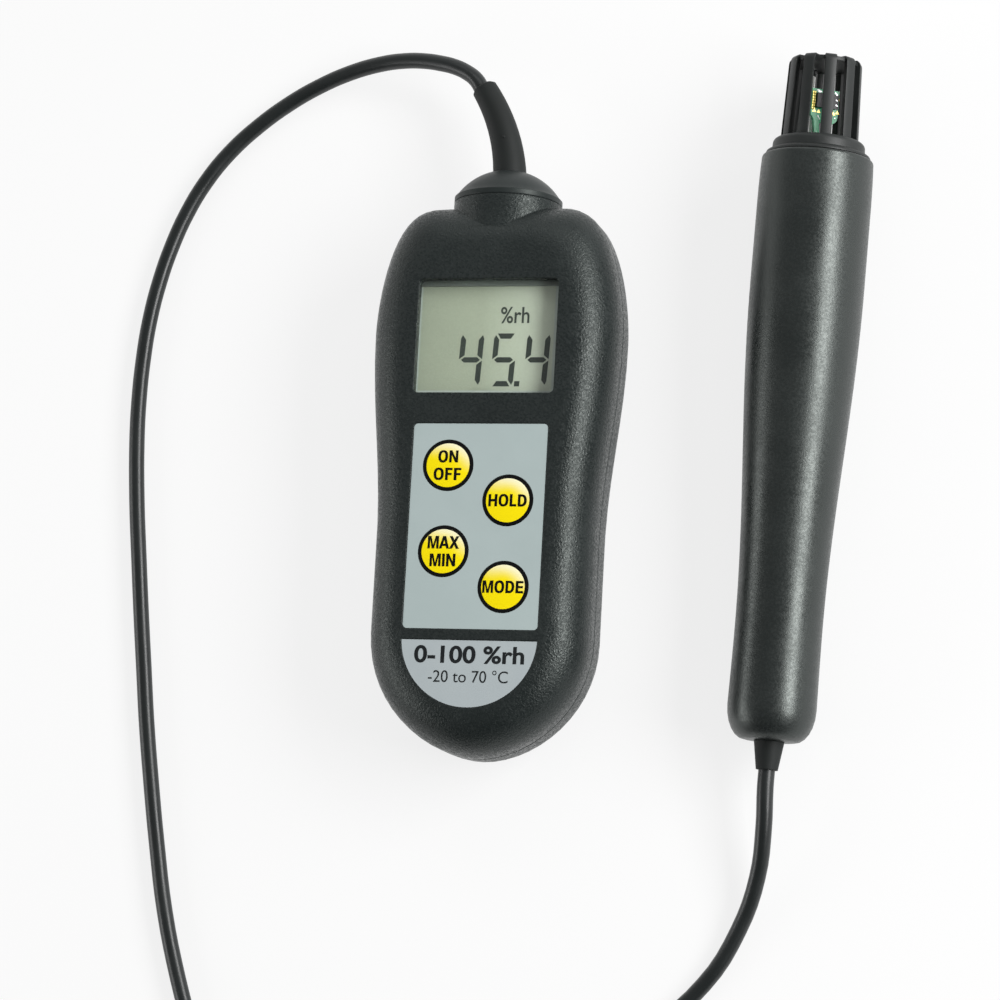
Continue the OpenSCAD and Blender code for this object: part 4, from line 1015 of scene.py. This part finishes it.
def makeSensorParts():
    onBoard("sensorBoard", [sensor["outline"]], "board", "board", solderMask, "sensor_board")
    left, low, right, high = sensor["strip"]
    across, along = sensor["dots"]
    stepX, stepY = (right - left) / across, (high - low) / along
    near, far = sensor["dotFrom"], sensor["dotTo"]
    dots = [rectangle(left + (i + near) * stepX, low + (j + near) * stepY, left + (i + far) * stepX,
                      low + (j + far) * stepY) for i in range(across) for j in range(along)]
    w, h = sensor["triangleHalf"]
    triangles = [[(x - w, y - h), (x + w, y - h), (x, y + h)] for x, y in sensor["triangles"]]
    squares = [rectangle(x - w / 2, y - h / 2, x + w / 2, y + h / 2) for x, y, w, h in sensor["squares"]]
    blobs = [leaningOval(*blob) for blob in sensor["blobs"]] + [sensor["solderLine"]]
    onBoard("sensorPads", dots + triangles + squares, "pads", "gold_plate", goldPlate, "sensor_pads")
    onBoard("sensorStrip", [rectangle(*sensor["strip"])], "strip", "gold_plate", stripGold)
    onBoard("sensorSolder", blobs, "solder", "gold_plate", solder)
    onBoard("sensorChipEdge", [rectangle(*sensor["chipEdge"])], "chip", "chip_plastic", chipEpoxy)


makeSensorParts()

# Temperature sensor: a white sleeve with a dark bead of epoxy on its end
bead = {
    "place": (-1.45, 2.9, 0),
    "sleeve": [(0, 122.45), (0.3, 122.45), (0.3, 142.3), (0.22, 142.45), (0, 142.5)],
    "middle": 143.25,
    "radius": 0.7,
    "lowerPart": 0.93,
    "steps": 12,
}


def makeBead():
    way = sensorWay @ movedBy(bead["place"])
    sleeve = turned("sensorSleeve", bead["sleeve"], steps=24)
    settle(placed(sleeve, way), "meter", "white_sleeve", sleevePtfe, "temperature_sensor")
    steps, radius = bead["steps"], bead["radius"]
    profile = []
    for i in range(steps + 1):
        angle = math.pi * i / steps
        slimmer = 1 if i > steps / 2 else bead["lowerPart"]
        profile.append((radius * math.sin(angle) * slimmer, bead["middle"] - radius * math.cos(angle)))
    drop = turned("sensorBead", profile, steps=32)
    settle(placed(drop, way), "meter", "white_sleeve", beadEpoxy, "temperature_sensor")


makeBead()
print("sensor laid out")

# Wires: four in the meter, from the strain relief to the board, and four in the probe. Each point has how
# much the wires spread, how far along it is, and how high.
wire = {
    "colours": [("Red", wireRed), ("White", wireWhite), ("Green", wireGreen), ("Yellow", wireYellow)],
    "thick": 1.0,
    "meterPitch": 1.6,
    "probePitch": 1.2,
    "seam": 12.5,
    "fromRelief": [(1, 0, 0), (1, -2.5, 0), (1.3, -5, 0.6)],
    "boardEdge": (39.4, 15.5),
    "toBoard": [(1.6, 2.6, -0.8), (1.6, -2, -0.5), (1.6, -5, -0.5)],
    "probeRoute": [(1.0, 0.0, 4.2), (1.0, 0.0, 6.6), (1.4, 0.25, 37.5), (1.6, 0.5, 71.5), (1.6, 0.5, 75.6)],
}


def makeWires():
    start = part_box("signal_wires")[1].y / mm
    edge, pads = wire["boardEdge"]
    for i, (colour, material) in enumerate(wire["colours"]):
        side = i - (len(wire["colours"]) - 1) / 2
        x = side * wire["meterPitch"]
        route = [(wider * x, start + along, wire["seam"] + up) for wider, along, up in wire["fromRelief"]]
        route += [(wider * x, edge + along, pads + up) for wider, along, up in wire["toBoard"]]
        piece = makeTube(f"meterWire{colour}", route, wire["thick"])
        settle(piece, "meter", "wire_cover", material, "signal_wires")
        x = side * wire["probePitch"]
        route = [sensorWay @ (Vector((x * wider, y, z)) * mm) / mm for wider, y, z in wire["probeRoute"]]
        piece = makeTube(f"probeWire{colour}", route, wire["thick"])
        settle(piece, "meter", "wire_cover", material, "probe_wires")


makeWires()

# Batteries and their springs. Each lies along the bay, every other one turned round. The profile runs from
# the foot to the button on top, and the spring's coils narrow towards the battery.
battery = {
    "pitch": 10.8,
    "height": 7.65,
    "bay": (-51.5, -2.8),
    "plate": 0.5,
    "springLength": 3.2,
    "springWire": 0.7,
    "springTurns": 3,
    "springSteps": 16,
    "springRadius": (3.4, 1.6),
    "profile": [(0, 0.3), (3.7, 0.3), (4.0, 0.05), (4.85, 0), (5.25, 0.4), (5.25, 33.5), (5.25, 43.3),
                (4.85, 43.7), (4.3, 43.7), (4.05, 43.35), (2.3, 43.35), (1.9, 43.6), (1.9, 44.25),
                (1.65, 44.5), (0, 44.5)],
    "sleeveFrom": 4.2,
    "band": (33.5, 43.8),
}


def batteryWay(number):
    low, high = battery["bay"]
    plate, x, z = battery["plate"], (number - 2) * battery["pitch"], battery["height"]
    if number % 2:
        return movedBy((x, low + plate, z)) @ turnedBy(-90, "X")
    return movedBy((x, high - plate, z)) @ turnedBy(90, "X")


def springRoute(way):
    turns, (big, small), thick = battery["springTurns"], battery["springRadius"], battery["springWire"]
    steps = battery["springSteps"] * turns
    route = []
    for i in range(steps + 1):
        u = i / steps
        radius, angle = big + (small - big) * u, 2 * math.pi * turns * u
        height = thick / 2 + (battery["springLength"] - thick) * u
        point = Vector((radius * math.cos(angle), radius * math.sin(angle), height))
        route.append(way @ (point * mm) / mm)
    return route


def makeBatteries():
    low, high = battery["band"]
    for number in (1, 2, 3):
        way = batteryWay(number)
        spring = makeTube(f"batterySpring{number}", springRoute(way), battery["springWire"], resolution=2)
        settle(spring, "meter", "contact_steel", springSteel, "battery_springs")
        piece = turned(f"battery{number}", battery["profile"], steps=48)
        piece.data.materials.clear()
        for material in (batterySleeve, zincSteel, sleeveBand):
            piece.data.materials.append(material)
        for face in piece.data.polygons:
            out, along = face.center.xy.length / mm, face.center.z / mm
            face.material_index = 1 if out < battery["sleeveFrom"] else 2 if low < along < high else 0
        placed(piece, way @ movedBy((0, 0, battery["springLength"])))
        settle(piece, "meter", "battery_sleeve", None, f"battery_{number}")


makeBatteries()
print("wires and batteries in")

# The moulding pip on the strain relief
pip = {"place": (-1.12, 71.1, 15.55), "radius": 0.42, "high": 0.35, "sunk": 0.4}


def makePip():
    radius, high, foot = pip["radius"], pip["high"], -pip["sunk"]
    profile = [(0, foot), (radius, foot)] + [(radius * math.cos(a), high * math.sin(a)) for a in quarterTurn]
    piece = turned("reliefPip", profile, pip["place"], steps=24)
    settle(piece, "meter", "soft_plastic", reliefPvc)


makePip()


# The floor is pale paper, a hair below the lead. It glows a little: the camera sees it that much paler, and
# shine and glass see that much of it.
paper = {
    "side": 6000,
    "drop": 0.02,
    "colour": "#f6f6f6",
    "roughness": 0.9,
    "seen": 0.8,
    "mirrored": 0.66,
}


def makeFloor():
    deselect()
    bpy.ops.mesh.primitive_plane_add(size=paper["side"] * mm, location=(0, 0, -paper["drop"] * mm))
    floor = bpy.context.object
    floor.name = "floor"
    material, tree, shader = newMaterial("paleFloor")
    finish(tree, shader, {"Base Color": paper["colour"], "Roughness": paper["roughness"]})
    path = add(tree, "LightPath", {})
    bounced = add(tree, "Math", {"operation": "MAXIMUM"}, {0: path.outputs["Is Glossy Ray"],
                                                           1: path.outputs["Is Transmission Ray"]})
    dimmed = add(tree, "Math", {"operation": "MULTIPLY", 1: paper["mirrored"]}, {0: bounced.outputs[0]})
    seen = add(tree, "Math", {"operation": "MULTIPLY", 1: paper["seen"]}, {0: path.outputs["Is Camera Ray"]})
    lift = add(tree, "Math", {"operation": "MAXIMUM"}, {0: seen.outputs[0], 1: dimmed.outputs[0]})
    glow = add(tree, "Emission", {"Color": "#ffffff", "Strength": 1.0})
    mixed = add(tree, "MixShader", {}, {0: lift.outputs[0], 1: shader.outputs["BSDF"], 2: glow.outputs[0]})
    tree.links.new(mixed.outputs["Shader"], tree.nodes["Material Output"].inputs["Surface"])
    floor.data.materials.append(material)


# The world is pale round the horizon and falls off to a dim ceiling: each step has its height and its
# strength. Its near side is darker, between these two places from near to far.
sky = {
    "steps": [(0.0, 0.9), (0.15, 0.85), (0.3, 0.5), (0.6, 0.3), (1.0, 0.27)],
    "nearSide": 0.14,
    "sideFade": (-0.9, 0.3),
}


def makeWorld():
    world = bpy.data.worlds.new("studio")
    bpy.context.scene.world = world
    world.use_nodes = True
    tree = world.node_tree
    way = add(tree, "TexCoord", {})
    axes = add(tree, "SeparateXYZ", {}, {0: way.outputs["Generated"]})
    ramp = add(tree, "ValToRGB", {}, {"Fac": axes.outputs["Z"]})
    stops = ramp.color_ramp.elements
    for place, strength in sky["steps"][1:-1]:
        stops.new(place)
    for stop, (place, strength) in zip(stops, sky["steps"]):
        stop.position = place
        stop.color = (strength, strength, strength, 1)
    near, far = sky["sideFade"]
    side = add(tree, "MapRange", {"From Min": near, "From Max": far, "To Min": sky["nearSide"]},
               {"Value": axes.outputs["Y"]})
    tree.links.new(ramp.outputs["Color"], tree.nodes["Background"].inputs["Color"])
    tree.links.new(side.outputs["Result"], tree.nodes["Background"].inputs["Strength"])


# Softboxes: the way to each in degrees from the meter, how far away it is and its size in mm, and how light
# it makes a white card on the floor
lamps = {
    "rightBox": {"azimuth": 82, "elevation": 34, "away": 900, "size": (780, 330), "light": 0.62},
    "leftBox": {"azimuth": -104, "elevation": 22, "away": 700, "size": (560, 270), "light": 0.115},
    "farBox": {"azimuth": 4, "elevation": 42, "away": 900, "size": (800, 260), "light": 0.08},
}


def makeLamps():
    for name, lamp in lamps.items():
        around, up = math.radians(lamp["azimuth"]), math.radians(lamp["elevation"])
        way = Vector((math.sin(around) * math.cos(up), math.cos(around) * math.cos(up), math.sin(up)))
        away = lamp["away"] * mm
        data = bpy.data.lights.new(name, "AREA")
        data.shape = "RECTANGLE"
        data.size, data.size_y = (side * mm for side in lamp["size"])
        data.energy = lamp["light"] * (math.pi * away) ** 2 / math.sin(up)
        piece = newObject(name, data)
        turn = (-way).to_track_quat("-Z", "Y").to_matrix().to_4x4()
        piece.matrix_world = Matrix.Translation(way * away) @ turn


makeFloor()
makeWorld()
makeLamps()
bpy.context.scene.view_settings.view_transform = "Standard"
print("stage lit")
